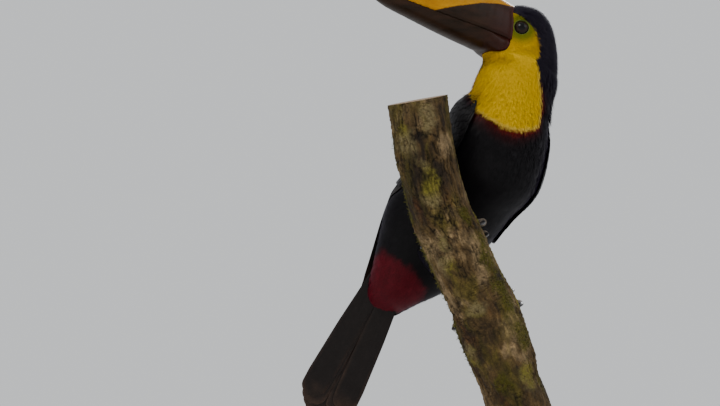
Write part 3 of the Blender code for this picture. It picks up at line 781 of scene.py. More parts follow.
def trails(t, turn, lengths, steps, swerve=0.0):
    """Places, normals, lies and colours along each vane as it follows the body, (vane, step, xyz)."""
    found = []
    waver = np.random.default_rng(len(t)).normal(0, 0.3, len(t))
    for _ in range(steps + 1):
        normal, lie, next_t, next_turn = step_along(t, turn, lengths / steps, swerve)
        found.append((skin_point(t, turn), normal, lie, markings(t, turn, waver)))
        t, turn = next_t, next_turn
    return [np.stack(part, 1) for part in zip(*found)]


def roots(low, high, spacing, seed, wanted):
    """Evenly scattered places (section, degrees) between two sections, with jitter, where wanted."""
    rng = np.random.default_rng(seed)
    t, row, found = low, 0, []
    dense = np.linspace(0, 360, 181)
    while t < high:
        ring = body_point(np.full(181, t), dense)
        ring_up = body_point(np.full(181, t + 0.05), dense)
        run = np.concatenate([[0], np.cumsum(np.linalg.norm(np.diff(ring, axis=0), axis=1))])
        count = max(int(run[-1] / spacing), 3)
        at = (np.arange(count) + 0.5 * (row % 2) + rng.uniform(-0.36, 0.36, count)) * run[-1] / count
        turn = np.interp(at % run[-1], run, dense)
        advance = spacing * 0.9 / (np.linalg.norm(ring_up - ring, axis=1).mean() / 0.05)
        found.append(np.stack([t + rng.uniform(-0.4, 0.4, count) * advance, turn], 1))
        t += advance
        row += 1
    t, turn = np.concatenate(found).T
    t = np.clip(t, 0.05, 19.7)
    keep = wanted(t, turn)
    return t[keep], turn[keep]


UNDER_LIFT, UNDER_FRINGE = 0.62, 0.05  # how far the under feathers stand up, and their ragged share
VANE_ROWS = np.array((0.0, 0.22, 0.45, 0.68, 0.86, 1.0))
VANE_WIDTH = np.array((0.30, 0.75, 1.0, 0.98, 0.72, 0.26))


def lay_vanes(coat, t, turn, length, width, seed):
    """Rounded contour feathers with a ragged edge, rooted at each place and kept low."""
    rng = np.random.default_rng(seed)
    many = len(t)
    length = length * rng.uniform(0.85, 1.15, many)
    length = np.minimum(length, np.maximum((t - 0.05) * 19, 3.0))  # none reaches past the tail's root
    width = width * rng.uniform(0.88, 1.12, many)
    steps, columns = len(VANE_ROWS) - 1, 5
    trail = trails(t, turn, length, steps, rng.normal(0, 0.09, many))
    at = (spline(part.transpose(1, 0, 2), VANE_ROWS * steps).transpose(1, 0, 2) for part in trail)
    points, normals, lies, tints = at
    sides = np.cross(normals, lies)
    depth = coat_depth(t, turn) * UNDER_LIFT * rng.uniform(0.85, 1.12, many)
    ruffle = np.where(rng.random(many) < 0.07, rng.uniform(0.2, 0.8, many), 0.0)
    high = (depth + ruffle)[:, None] * (0.04 + 0.96 * VANE_ROWS**0.8)
    across = np.linspace(-1, 1, columns)
    half = 0.5 * width[:, None] * VANE_WIDTH
    ragged = rng.uniform(-1, 1, (many, len(VANE_ROWS), columns)) * (UNDER_FRINGE * length)[:, None, None]
    ragged = ragged * np.array((0, 0, 0.1, 0.35, 0.7, 1.0))[None, :, None]
    drop = 0.22 * half[..., None] * across**2
    place = points[:, :, None] + sides[:, :, None] * (half[..., None] * across)[..., None]
    place = place + normals[:, :, None] * (high[..., None] - drop)[..., None]
    place = place + lies[:, :, None] * ragged[..., None]
    # painted shade: each feather darker towards its root, where the feathers over it shade it, times a
    # random tone of its own
    root_shade = (0.55 + 0.45 * smooth_step(0.05, 0.75, VANE_ROWS)) * rng.uniform(0.85, 1.15, many)[:, None]
    tints = np.maximum(tints, 0)[:, :, None] * root_shade[..., None, None]
    coat.add(place, tints, unwrap(t, turn), normals=unit(normals))


def lay_tufts(
    coat, t, turn, length, width, seed,
    barbs=5, steps=4, lift=1.0, streak=0.16, stray=0.05, ragged=0.2, deep=0.62,
):
    """Tufts of a few fine pointed barbs. Lift is how far they stand up, ragged how uneven their tips are.

    Streak is how much their shades differ, deep how dark the painted shade at their roots is, stray the
    share that stick out.
    """
    rng = np.random.default_rng(seed)
    many = len(t)
    length = length * rng.uniform(0.8, 1.2, many)
    points, normals, lies, tints = trails(t, turn, length, steps, rng.normal(0, 0.08, many))
    sides = np.cross(normals, lies)
    v = np.linspace(0, 1, steps + 1)
    depth = coat_depth(t, turn) * lift * rng.uniform(0.75, 1.1, many)
    strays = np.where(rng.random(many) < stray, rng.uniform(0.3, 1.0, many), 0.0)
    # painted shade: each barb darker towards its root, where the tufts over it shade it
    root_shade = deep + (1 - deep) * smooth_step(0.0, 0.6, v)
    tints = tints * (rng.uniform(1 - streak, 1 + streak, many)[:, None] * root_shade)[..., None]
    for k in range(barbs):
        spot = (k + 0.5) / barbs * 2 - 1
        fan = (0.45 + 0.55 * v) * spot * width / 2
        bend = rng.normal(0, 0.10, many)[:, None] * v**2 * width
        centre = points + sides * (fan[None, :] + bend)[..., None]
        reach = rng.uniform(-ragged, 0.5 * ragged, many)[:, None] * v**2 * length[:, None]
        high = depth[:, None] * (0.05 + 0.95 * v**0.75) * rng.uniform(0.85, 1.1, many)[:, None]
        high = high + strays[:, None] * v**2 - 0.25 * abs(spot) * depth[:, None] * v
        centre = centre + lies * reach[..., None] + normals * high[..., None]
        half = 0.62 * width / barbs * (1 - 0.88 * v**1.6)
        edge = sides * half[None, :, None]
        ribbon = np.stack([centre - edge, centre + edge], 2)
        tone = tints * rng.uniform(0.95, 1.05, many)[:, None, None]
        coat.add(ribbon, tone[:, :, None], unwrap(t, turn), normals=normals)


def on_wing(t, turn):
    """Whether a place lies under the folded wing's own feathers."""
    under = np.zeros(np.shape(t), bool)
    for _, u, w in on_wings(t, turn):
        under |= (np.abs(w) < 0.92) & (u > 0.02) & (u < 0.93)
    return under


def clear(t, turn):
    """Whether a place is off the eyelids and not inside the bill."""
    points = skin_point(t, turn)
    return (eye_distance(points)[0] > 9.0) & (bill_measure(points, 0.6) >= 1)


def wants_black(t, turn):
    return (bib_depth(*ahead(t, turn, 6.0)) <= -0.3) & ~on_wing(t, turn) & clear(t, turn)


def wants_yellow(t, turn, length=6.0):
    points = skin_point(t, turn)
    bare = bareness(points) > 0.5 - 0.5 * noise(points, 2.0, 8)
    return (bib_depth(*ahead(t, turn, length)) > -0.3) & ~bare & clear(t, turn)


# Pieces of black coat: the sections it lies between, spacing, length and width of its tufts, seed
BLACK_COAT = {
    "coat_rump_and_vent": (0.3, 3.3, 2.35, 10.5, 4.6, 13),
    "coat_flanks": (3.3, 5.4, 2.6, 12.0, 5.2, 15),
    "coat_breast_and_back": (5.4, 7.6, 2.6, 12.0, 5.2, 17),
    "coat_shoulders": (7.6, 9.6, 2.3, 9.5, 4.2, 19),
    "coat_nape": (9.5, 13.0, 2.0, 11.0, 3.4, 21),
    "coat_crown": (12.9, 19.6, 1.7, 8.0, 2.8, 23),
}


def make_body_coat():
    """The plumage of trunk, neck and head, in pieces that each stay under 200,000 triangles."""
    coat = Coat()
    lay_vanes(coat, *roots(0.3, 9.0, 4.4, 11, wants_black), 15.0, 9.0, 12)
    coat.make("coat_under_feathers", "plumage")
    for name, (low, high, spacing, length, width, seed) in BLACK_COAT.items():
        coat = Coat()
        lift, stray = (2.1, 0.22) if low > 9 else (1.0, 0.04)
        places = roots(low, high, spacing, seed, wants_black)
        lay_tufts(coat, *places, length, width, seed + 1, barbs=6, lift=lift, stray=stray)
        coat.make(name, "plumage")
    coat = Coat()
    bib = {"lift": 1.7, "streak": 0.05, "stray": 0.02, "ragged": 0.08, "deep": 0.90}
    lay_tufts(coat, *roots(8.05, 12.4, 1.42, 25, wants_yellow), 8.0, 2.3, 26, **bib)
    coat.make("coat_bib", "bib", "feathers_yellow")
    coat = Coat()
    places = roots(12.3, 16.4, 1.15, 27, partial(wants_yellow, length=3.5))
    lay_tufts(coat, *places, 4.6, 1.7, 28, barbs=4, steps=3, streak=0.06, deep=0.88)
    coat.make("coat_face", "bib", "feathers_yellow")


def make_thigh_coat():
    """Soft short feathers down each thigh."""
    coat = Coat()
    v, many = VANE_ROWS, 1500
    half = 1.15 * VANE_WIDTH
    columns = np.linspace(-1, 1, 5)
    for side in LEGS:
        heel, hip, across, over = thigh_frame(side)
        across = -across
        rng = np.random.default_rng(31 if side == "l" else 32)
        share = rng.uniform(0.0, 1.0, many)
        turn = rng.uniform(0, 2 * math.pi, many)
        reach = rng.uniform(7.0, 12.0, many)[:, None]
        places = share[:, None] - v * reach / np.linalg.norm(heel - hip)
        radius = np.maximum(np.interp(places, *THIGH_GIRTH.T) - THIGH_COAT + 1.5 * v, 3.3)
        ring = ring_of(across, over, turn)
        centre = heel + (hip - heel) * places[..., None] + ring[:, None] * radius[..., None]
        tangent = -across * np.sin(turn)[:, None] + over * np.cos(turn)[:, None]
        jag = rng.uniform(-1, 1, (many, len(v), 5)) * 0.9 * v[None, :, None] ** 2
        grid = centre[:, :, None] + tangent[:, None, None] * (half[:, None] * columns)[None, :, :, None]
        grid = grid - ring[:, None, None] * (0.25 * half[:, None] * columns**2)[None, :, :, None]
        grid = grid + unit(heel - hip) * jag[..., None]
        shade = rng.uniform(0.7, 1.3, many)[:, None, None, None]
        tints = np.array(BLACK) * shade * np.ones((1, len(v), 5, 1))
        middle = np.full(many, 80.0 if side == "l" else 120.0)
        coat.add(grid, tints, unwrap(4.4 - 1.2 * (1 - share), middle + 12 * np.cos(turn)))
    coat.make("coat_thighs", "plumage")


# ---------------------------------------------------------------- wing and tail feathers
# Half widths along a long feather: shares of its length, then of its half width
LONG_TAPER = ((0.0, 0.12, 0.45, 0.85, 1.0), (0.30, 0.62, 0.95, 1.0, 0.86))
POINTED_TAPER = ((0.0, 0.12, 0.45, 0.75, 1.0), (0.30, 0.62, 1.0, 0.86, 0.50))
TAIL_TAPER = ((0.0, 0.15, 0.5, 0.85, 1.0), (0.40, 0.72, 0.92, 1.0, 0.92))
# Colours of a feather where it is fresh and where it is worn
LONG_TINTS = (TAIL_BLACK, WORN_BROWN)
COVERT_TINTS = (BLACK, TAIL_BLACK)
SMALL_TINTS = (BLACK, BLACK)
QUILL_THICKNESS = 0.30


def quill(surface, start, end, width, rows, columns, taper, seed, bow):
    """The flat of a long feather on surface(a, b, out), its normals, its rise and its own coordinates."""
    v = 1 - (1 - np.linspace(0, 1, rows)) ** 1.7
    a = start[0] + (end[0] - start[0]) * v
    b = start[1] + (end[1] - start[1]) * v
    middle = surface(a, b, 0.0)
    run = unit(np.gradient(middle, axis=0))
    lifted = surface(a, b, 1.0) - middle
    normal = unit(lifted - run * dot(lifted, run)[:, None])
    side = np.cross(normal, run)
    across = np.linspace(-1, 1, columns)
    jag = np.random.default_rng(seed).uniform(-1, 1, columns) * 0.3
    blunt = 1 - 0.42 * width / np.linalg.norm(middle[-1] - middle[0])
    round_tip = np.sqrt(np.clip(1 - ((v - blunt) / (1 - blunt)).clip(0, 1) ** 2.4, 0, 1)) * 0.95 + 0.05
    half = width / 2 * np.interp(v, *taper) * round_tip
    flat = middle[:, None] + side[:, None] * (half[:, None] * across)[..., None]
    flat = flat + run[:, None] * (jag[None] * smooth_step(0.8, 1.0, v)[:, None])[..., None]
    dome = (bow * (1 - across**2))[None] * np.ones((rows, 1))
    shaft = 0.22 * bell(across, 0.09)[None] * (1 - 0.7 * v)[:, None]
    return flat, normal, dome + shaft, v, across


def lay_quill(
    coat, surface, start, end, width, out, seed, tints, spot,
    rows=26, columns=9, taper=LONG_TAPER, bow=0.35, tilt=0.0,
):
    """One long feather as a thin closed shell, out high at its root and tilt more at its tip."""
    flat, normal, rise, v, across = quill(surface, start, end, width, rows, columns, taper, seed, bow)
    ends = 0.75 * smooth_step(0.86, 1.0, v)[:, None]
    edges = 0.5 * smooth_step(0.72, 1.0, np.abs(across))[None] * smooth_step(0.2, 0.8, v)[:, None]
    worn = np.clip(ends + edges, 0, 1) * (0.5 + 0.5 * noise(flat, 7.0, seed))
    shade = np.random.default_rng(seed + 7).uniform(0.85, 1.15)
    speck = shade * (1 + 0.25 * fractal(flat, 4.0, 2, seed))
    colour = mix(*tints, worn) * speck[..., None]
    high = out + tilt * v[:, None] + rise
    thick = QUILL_THICKNESS * np.sqrt(np.clip(1.02 - across**2, 0, 1))[None]
    top = flat + normal[:, None] * high[..., None]
    below = flat + normal[:, None] * (high - thick)[..., None]
    shell = np.concatenate([top, below[:, ::-1], top[:, :1]], 1)
    both = np.concatenate([colour, colour[:, ::-1], colour[:, :1]], 1)
    coat.add(shell[None], both[None], np.array([spot]), (0.006, 0.03))


def lay_coverts(lay, spot, seed):
    """Short overlapping feathers over the arm, in rows that begin furthest from the bend."""
    rng = np.random.default_rng(seed + 60)
    for row, u in enumerate(np.arange(0.36, -0.05, -0.026)):
        size = 1 - 0.5 * smooth_step(0.34, 0.0, u)
        tilt = 0.9 + 0.85 * smooth_step(0.05, 0.20, u)
        tints = SMALL_TINTS if u < 0.16 else COVERT_TINTS
        count = int(19 / (0.35 + 0.65 * size))
        for k in range(count):
            w = -1.02 + 2.04 * (k + 0.5 * (row % 2)) / count + rng.uniform(-0.02, 0.02)
            start = (max(u, 0.02) + rng.uniform(-0.005, 0.005), w)
            reach = (0.105 * size + 0.012) * rng.uniform(0.9, 1.12)
            end = (start[0] + reach, w * 0.99 + rng.uniform(-0.015, 0.015))
            own = seed + 70 + row * 40 + k
            lay(start, end, 8.4 * size, 1.0, own, tints, spot(u, w), rows=8, columns=7, bow=0.32, tilt=tilt)


def make_wing(side, sign, seed):
    """A folded wing: primaries lowest, then secondaries, then coverts over their roots."""
    coat = Coat()
    lay = partial(lay_quill, coat, partial(wing_point, sign))

    def spot(u, w):
        section, above = wing_middle(sign, u)
        return unwrap(section, (360 - above if sign > 0 else 180 + above) - sign * w * 40)

    for k in range(8):
        w = -0.92 + 0.13 * k
        end = (1.02 - 0.012 * (7 - k) ** 1.3 - 0.01 * k, -0.55 + 0.10 * k)
        out = -0.7 + 0.14 * k
        lay((0.40, w), end, 10.5, out, seed + k, LONG_TINTS, spot(0.4, w), taper=POINTED_TAPER)
    for k in range(10):
        w = -0.42 + 0.145 * k
        end = (0.82 + 0.08 * math.sin(k * 0.42), -0.34 + 0.13 * k)
        lay((0.34, w), end, 13.0, 0.35 + 0.15 * k, seed + 20 + k, COVERT_TINTS, spot(0.36, w))
    for k in range(13):
        w = -0.96 + 0.155 * k
        end = (0.58 + 0.03 * math.sin(k * 0.5), w * 0.95)
        lay((0.30, w), end, 12.0, 1.2, seed + 40 + k, COVERT_TINTS, spot(0.3, w), rows=14, bow=0.3, tilt=1.0)
    lay_coverts(lay, spot, seed)
    wing = coat.make("feathers_wing_" + side, "quills")
    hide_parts("wing_" + side)


def tail_sheet(along, across, out):
    """The arched fan of the tail: out is towards its upper side."""
    share = along / TAIL_LENGTH
    w = across / TAIL_HALF_WIDTH
    arch = TAIL_ARCH * (0.45 - w * w) * (1 - 0.4 * share)
    return tail_point(along, across, -arch - out)


def make_tail():
    """Ten long feathers: the outer ones lowest, each a little shorter, with worn brown ends."""
    coat = Coat()
    lay = partial(lay_quill, coat, tail_sheet, rows=44, columns=15, taper=TAIL_TAPER, bow=0.15)
    for pair in range(5):
        for sign in (1, -1):
            spread = sign * (1.2 + 3.9 * pair)
            shorter = 0.16 * (abs(spread) / TAIL_HALF_WIDTH + 0.30 * (pair > 0)) ** 2.6
            start, end = (-12.0, sign * (0.8 + 1.7 * pair)), (TAIL_LENGTH * (1 - shorter), spread)
            out = 0.75 - 0.34 * pair + 0.06 * sign
            spot = unwrap(0.4, 250.0 + 8 * sign * pair)
            lay(start, end, 25.0, out, 300 + 10 * pair + sign, LONG_TINTS, spot)
    tail = coat.make("feathers_tail", "quills")
    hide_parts("tail")


# ---------------------------------------------------------------- bill
GAPE_GAP = 0.15  # from the gape line to each half's edge
# Height of the border between the bill's dark side and its yellow, by share of its length
BILL_BORDER = (
    (-0.06, 18.6), (0.03, 17.3), (0.13, 13.2), (0.19, 9.6), (0.24, 6.9), (0.30, 1.6),
    (0.37, -4.0), (0.44, -10.5), (0.50, -16.5), (0.58, -26.0), (1.0, -60.0),
)


def outside_head(points):
    """Roughly how far outside the head's outline a point is, in millimetres."""
    forward, left, up = in_head(points)
    back, front, half, power = (np.interp(up, HEAD_SECTIONS[:, 0], column) for column in HEAD_SECTIONS.T[1:])
    middle, reach = (front - back) / 2, (front + back) / 2
    away = (np.abs((forward - middle) / reach) ** power + np.abs(left / half) ** power) ** (1 / power)
    return (away - 1) * np.where(forward > middle, reach, half)


def lower_roundness(share):
    """The mandible is square at its root and round further on."""
    return 2.2 + 4.3 * (1 - smooth_step(0.05, 0.16, share))


def bill_grid(lower):
    """Arches over the outer side of the upper or lower half, from its root to its tip."""
    rows, columns = 230, 72
    end = LOWER_BILL_SHARE if lower else 1.0
    start = BILL_OUTLINE[0, 0]
    share = start + (end - start) * np.linspace(0, 1, rows) ** 0.94
    ridge, gape, under, half = table(BILL_OUTLINE, share)
    if lower:
        taper = 1 - smooth_step(0.75, 1.0, share / end)
        near, far = gape - GAPE_GAP, gape + (under - gape) * (0.25 + 0.75 * taper)
        half = half * (0.30 + 0.66 * taper)
        power = lower_roundness(share)[:, None]
    else:
        near, far = gape + GAPE_GAP, ridge
        power = 2.5
    turn = np.linspace(0, math.pi, columns)
    across, out = (rounded(part, power) * np.ones((rows, 1)) for part in (np.cos(turn), np.sin(turn)))
    left = half[:, None] * across
    up = near[:, None] + (far - near)[:, None] * out
    forward = np.broadcast_to((share * BILL_LENGTH)[:, None], left.shape)
    return head_point(forward, left, up), share, out, up, half


def horn(lower):
    """One half of the bill as a closed mesh, with the horn's own relief."""
    points, share, height, up, half = bill_grid(lower)
    along = share[:, None] * BILL_LENGTH
    outward = points - head_point(along[:, 0], 0 * along[:, 0], up.mean(1))[:, None]
    outward = unit(outward - dot(outward, HEAD_FORWARD)[..., None] * HEAD_FORWARD)
    # growth lines, shallow dents and long fine ridges
    rise = 0.10 * noise(np.stack([along / 3.2 + 0.6 * height, height * 2, 0 * height], -1), 1.0, 41)
    rise = rise + 0.22 * fractal(points, 16.0, 2, 42) + 0.05 * noise(points * (0.25, 0.25, 2.0), 1.0, 43)
    rim = 0.55 * bell(outside_head(points) - 1.2, 1.1)
    moved = points + outward * (rise * smooth_step(0, 0.15, height) + rim)[..., None]
    if not lower:
        teeth = np.abs(np.sin(along * math.pi / 6.4 + 0.8 * noise(points, 9.0, 44))) - 0.5
        reach = smooth_step(0.16, 0.30, share)[:, None] * (1 - smooth_step(0.90, 0.98, share))[:, None]
        moved = moved - HEAD_UP * (0.55 * bell(height, 0.10) * teeth * reach)[..., None]
        moved = moved + HEAD_UP * (0.5 * bell(height - 1.0, 0.012))[..., None]
    # the inner side closes each ring just inside the gape line, slightly hollowed
    over = np.linspace(0, 1, 12)[1:-1]
    inner = moved[:, -1:] + (moved[:, :1] - moved[:, -1:]) * over[None, :, None]
    hollow = np.sin(math.pi * over) * (-0.5 if lower else 0.5)
    inner = inner + HEAD_UP * (hollow[None] * np.minimum(half, 6)[:, None] / 6)[..., None]
    return capped(np.concatenate([moved, inner], 1), HEAD_FORWARD * 0.3)


def make_bill():
    """Both halves of the bill, each with the measures its material reads."""
    for name, lower in (("bill_upper", False), ("bill_lower", True)):
        points, faces = horn(lower)
        made = add_mesh(name + "_horn", points, faces, "bill", "bill_dark" if lower else "bill_yellow")
        fix_normals(made)
        # how far inside the yellow, how far out from the face, and what share of the length
        forward, _, high = in_head(points)
        share = forward / BILL_LENGTH
        border = np.interp(share, *np.array(BILL_BORDER).T)
        tell(made.data, "yellow", np.where(lower, -20.0, high - border))
        tell(made.data, "base", outside_head(points))
        tell(made.data, "along", share)
        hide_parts(name)


# ---------------------------------------------------------------- eyes
def make_eyes():
    """Eyeballs with a slight bulge of the cornea over iris and pupil."""
    polar = np.radians(np.concatenate([np.linspace(0.5, 75, 60), np.linspace(79, 179.5, 22)]))
    turn = np.linspace(0, 2 * math.pi, 96, endpoint=False)
    radius = EYE_RADIUS * (1 + 0.025 * bell(np.degrees(polar), 30) - 0.012 * (polar > 1.3))
    spokes = noise(np.stack([np.cos(turn), np.sin(turn), 0 * turn], -1), 0.12, 51)
    for side, sign in SIDES.items():
        out = EYE_OUT[sign]
        across = unit(np.cross(out, HEAD_UP))
        ring = ring_of(across, np.cross(across, out), turn)
        ball = np.cos(polar)[:, None, None] * out + np.sin(polar)[:, None, None] * ring[None]
        points = (EYES[sign] + radius[:, None, None] * ball).reshape(-1, 3)
        eye = add_mesh("eyeball_" + side, points, [grid_faces(*ball.shape[:2], closed=True)], "eye", "eye")
        fix_normals(eye)
        tell(eye.data, "away", np.repeat(np.degrees(polar), len(turn)))
        tell(eye.data, "spoke", np.tile(spokes, len(polar)))
        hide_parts("eye_" + side)


# ---------------------------------------------------------------- branch
BRANCH_END = 8.0  # section number of the upper cut
SECTION_LENGTH = 31.0  # about how long one section of the branch is
BARK_RADIUS = 27.0
OUTER_EDGE = 268  # degrees of the branch's outer edge, where moss hangs in wisps


def branch_frame(t):
    """Centre, way up, back and +X side of the branch at each place along it."""
    centre = spline(BRANCH_LINE, t)
    up = unit(spline(BRANCH_LINE, t + 0.05) - spline(BRANCH_LINE, t - 0.05))
    back = unit(BRANCH_BACK - up * (up @ BRANCH_BACK)[..., None])
    side = np.cross(up, back)
    return centre, up, back, side * np.sign(side[..., :1])


def branch_radius(t, degrees):
    """Thicker at its foot, uneven all round, and hollowed at its back."""
    turn = np.radians(degrees)
    swelling = 0.7 * np.sin(2 * turn + 1.9 * t) + 0.5 * np.sin(3 * turn - 2.7 * t + 1.0)
    hollow = 4.2 * bell(t - 6.1, 1.15) + 3.6 * bell(t - 1.15, 0.5)
    return BRANCH_RADIUS + 1.9 * (1 - t / 8) + swelling - hollow * np.maximum(np.sin(turn), 0.0) ** 2


def branch_point(t, degrees, out=0.0):
    """A point this far out from the bark: 0 degrees is its back, 90 its +X side."""
    t, degrees = np.broadcast_arrays(np.asarray(t, float), np.asarray(degrees, float))
    centre, _, back, side = branch_frame(t)
    turn = np.radians(degrees)
    reach = branch_radius(t, degrees) + out
    return centre + back * (np.cos(turn) * reach)[..., None] + side * (np.sin(turn) * reach)[..., None]


# Patches on the bark: place along, degrees, half length along in sections, half width in degrees
LICHEN = (
    (6.4, 192, 0.55, 22), (7.2, 222, 0.5, 26), (5.2, 205, 0.35, 18), (4.6, 215, 0.3, 22),
    (3.3, 200, 0.35, 30), (7.6, 170, 0.4, 20), (2.2, 240, 0.4, 25), (6.0, 60, 0.5, 30),
    (3.0, 20, 0.4, 30), (1.2, 150, 0.4, 26), (5.6, 320, 0.6, 26), (1.5, 320, 0.5, 30),
    (7.4, 20, 0.4, 35), (5.3, 98, 0.9, 9), (6.5, 96, 0.8, 9), (4.1, 100, 0.8, 10), (2.7, 98, 0.7, 9),
)
MOSS = (
    (5.6, 142, 0.6, 20), (4.5, 130, 1.0, 26), (3.3, 136, 1.1, 24), (2.2, 128, 0.8, 24), (6.4, 262, 1.3, 12),
    (4.6, 268, 1.6, 11), (2.4, 266, 1.2, 9), (1.2, 200, 0.35, 20), (4.0, 40, 0.9, 26), (6.8, 340, 0.5, 20),
)


def patches(rows, t, degrees, points, seed):
    """0 to 1 where the listed patches lie, with a broken edge."""
    total = np.zeros(np.shape(t))
    ragged = 0.75 * fractal(points, 9.0, 5, seed)
    for place, turn, long, wide in rows:
        off = turn_past(turn, degrees)
        total = np.maximum(total, 1.0 - np.hypot((t - place) / long, off / wide) + ragged)
    return smooth_step(0.05, 0.75, total) * smooth_step(-0.7, 0.1, fractal(points, 1.6, 3, seed + 3))


def bark_cylinder(t, degrees, squeeze):
    """The bark laid on an even cylinder and squeezed lengthways, so that noise runs long on it."""
    x, y = np.cos(np.radians(degrees)) * BARK_RADIUS, np.sin(np.radians(degrees)) * BARK_RADIUS
    return np.stack([x, y, t * SECTION_LENGTH * squeeze], -1)


def bark_relief(t, degrees, points):
    """How far the bark stands out of its mean surface, and how deep in a crack it is."""
    flat = bark_cylinder(t, degrees, 0.40) + 2.2 * wander(points, 9.0, 60)
    broad = 1.0 * fractal(flat, 20.0, 3, 61)
    ridge = np.abs(fractal(flat, 5.2, 4, 62))
    deep = smooth_step(-0.35, 0.35, fractal(points, 30.0, 2, 66))
    cracks = (1 - smooth_step(0.0, 0.12, ridge)) * deep
    short = np.stack([flat[..., 0] * 0.5, flat[..., 1] * 0.5, t * SECTION_LENGTH * 1.6], -1)
    cross = np.abs(fractal(short, 4.2, 3, 63))
    splits = (1 - smooth_step(0.0, 0.10, cross)) * smooth_step(-0.2, 0.4, fractal(points, 16.0, 2, 64))
    fine = fractal(points, 1.7, 3, 65)
    flakes = np.maximum(fractal(flat, 3.0, 2, 67), 0.0)
    height = broad + 0.75 * fine + 0.9 * flakes - 1.1 * cracks - 0.6 * splits
    return height, np.clip(0.9 * cracks + 0.6 * splits, 0, 1)


# Knots: place along, degrees, height, radius
KNOTS = ((6.9, 250, 3.2, 6.5), (3.9, 165, 2.4, 5.0), (1.4, 100, 3.5, 7.0), (5.6, 30, 3.0, 6.0))
BARK_TONES = ((0.020, 0.012, 0.006), (0.072, 0.043, 0.015), (0.190, 0.128, 0.062))
BARK_OLIVE = (0.085, 0.068, 0.008)
BARK_RUST = (0.085, 0.033, 0.010)
LICHEN_TONES = ((0.165, 0.130, 0.058), (0.150, 0.130, 0.014))
MOSS_TONES = ((0.035, 0.034, 0.002), (0.085, 0.074, 0.004))


def bark_knots(t, degrees):
    """How far the knots stand out, and how deep their sunken hearts are."""
    height, heart = np.zeros(t.shape), np.zeros(t.shape)
    for place, turn, high, wide in KNOTS:
        off = turn_past(turn, degrees) * math.pi / 180 * BARK_RADIUS
        away = np.hypot((t - place) * SECTION_LENGTH, off)
        rings = 0.25 * np.cos(away * 2.2) * bell(away, 1.4 * wide)
        height = height + high * 0.7 * (bell(away, wide) - 0.55 * bell(away, 0.38 * wide)) + rings
        heart = np.maximum(heart, 0.9 * bell(away, 0.35 * wide))
    return height, heart


def bark_tints(t, degrees, flat, crack, lichen, moss):
    """Brown, pale and rusty bark along the grain, dark in its cracks, under lichen and moss."""
    grain = bark_cylinder(t, degrees, 0.42) + 2.5 * wander(flat, 11.0, 83)
    tone = 0.5 + 0.85 * fractal(flat, 26.0, 3, 75) + 0.32 * fractal(grain, 4.2, 4, 76)
    tints = mix(BARK_TONES[0], BARK_TONES[1], smooth_step(0.15, 0.48, tone))
    tints = mix(tints, BARK_TONES[2], smooth_step(0.5, 0.85, tone))
    tints = mix(tints, BARK_OLIVE, 0.6 * smooth_step(0.0, 0.5, fractal(grain, 13.0, 4, 81)))
    tints = mix(tints, BARK_RUST, 0.6 * smooth_step(0.1, 0.6, fractal(grain, 10.0, 4, 82)))
    tints = tints * (1 - 0.78 * crack)[..., None] * (1 + 0.8 * fractal(grain, 1.9, 3, 77))[..., None]
    tints = tints * (1 + 0.55 * smooth_step(-0.3, 0.9, fractal(flat, 4.5, 3, 84)) - 0.2)[..., None]
    kind = smooth_step(-0.2, 0.3, fractal(flat, 24.0, 2, 78))
    pale = mix(*LICHEN_TONES, kind) * (1 + 0.35 * fractal(flat, 2.6, 3, 79))[..., None]
    tints = mix(tints, pale, 0.85 * lichen * (1 - 0.5 * crack))
    return mix(tints, mix(*MOSS_TONES, 0.5 + 0.5 * fractal(flat, 2.2, 2, 80)), 0.88 * moss)


def bark_grid():
    """Points and colours of the bark, ring by ring from the sawn foot up."""
    degrees = np.linspace(0, 360, 300, endpoint=False)
    t, degrees = np.meshgrid(np.linspace(0.0, BRANCH_END, 430), degrees, indexing="ij")
    flat = branch_point(t, degrees)
    height, crack = bark_relief(t, degrees, flat)
    knots, hearts = bark_knots(t, degrees)
    lichen, moss = patches(LICHEN, t, degrees, flat, 71), patches(MOSS, t, degrees, flat, 72)
    height = height + knots + 0.30 * lichen * (0.6 + 0.4 * fractal(flat, 1.6, 2, 73))
    height = height + 0.55 * moss * (1 + fractal(flat, 1.5, 2, 74))
    tints = bark_tints(t, degrees, flat, np.maximum(crack, hearts), lichen, moss)
    return branch_point(t, degrees, height), tints


def make_branch():
    """The bark, cut level at its foot, with end grain on both sawn faces."""
    points, tints, faces = flattened(*bark_grid())
    bark = add_mesh("branch_bark", points, [faces], "bark", "bark", tints)
    dress(bark, "end_grain")
    bm = bmesh.new()
    bm.from_mesh(bark.data)
    geometry = bm.verts[:] + bm.edges[:] + bm.faces[:]
    level = Vector((0, 0, BRANCH_SAWN_LEVEL * MM))
    bmesh.ops.bisect_plane(bm, geom=geometry, plane_co=level, plane_no=(0, 0, -1), clear_outer=True)
    bmesh.ops.holes_fill(bm, edges=[edge for edge in bm.edges if edge.is_boundary], sides=0)
    caps = [face for face in bm.faces if len(face.verts) > 4]
    for face in caps:
        face.material_index = 1
        face.smooth = False
    bmesh.ops.triangulate(bm, faces=caps)
    bmesh.ops.recalc_face_normals(bm, faces=bm.faces)
    bm.to_mesh(bark.data)
    bm.free()
    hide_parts("branch")


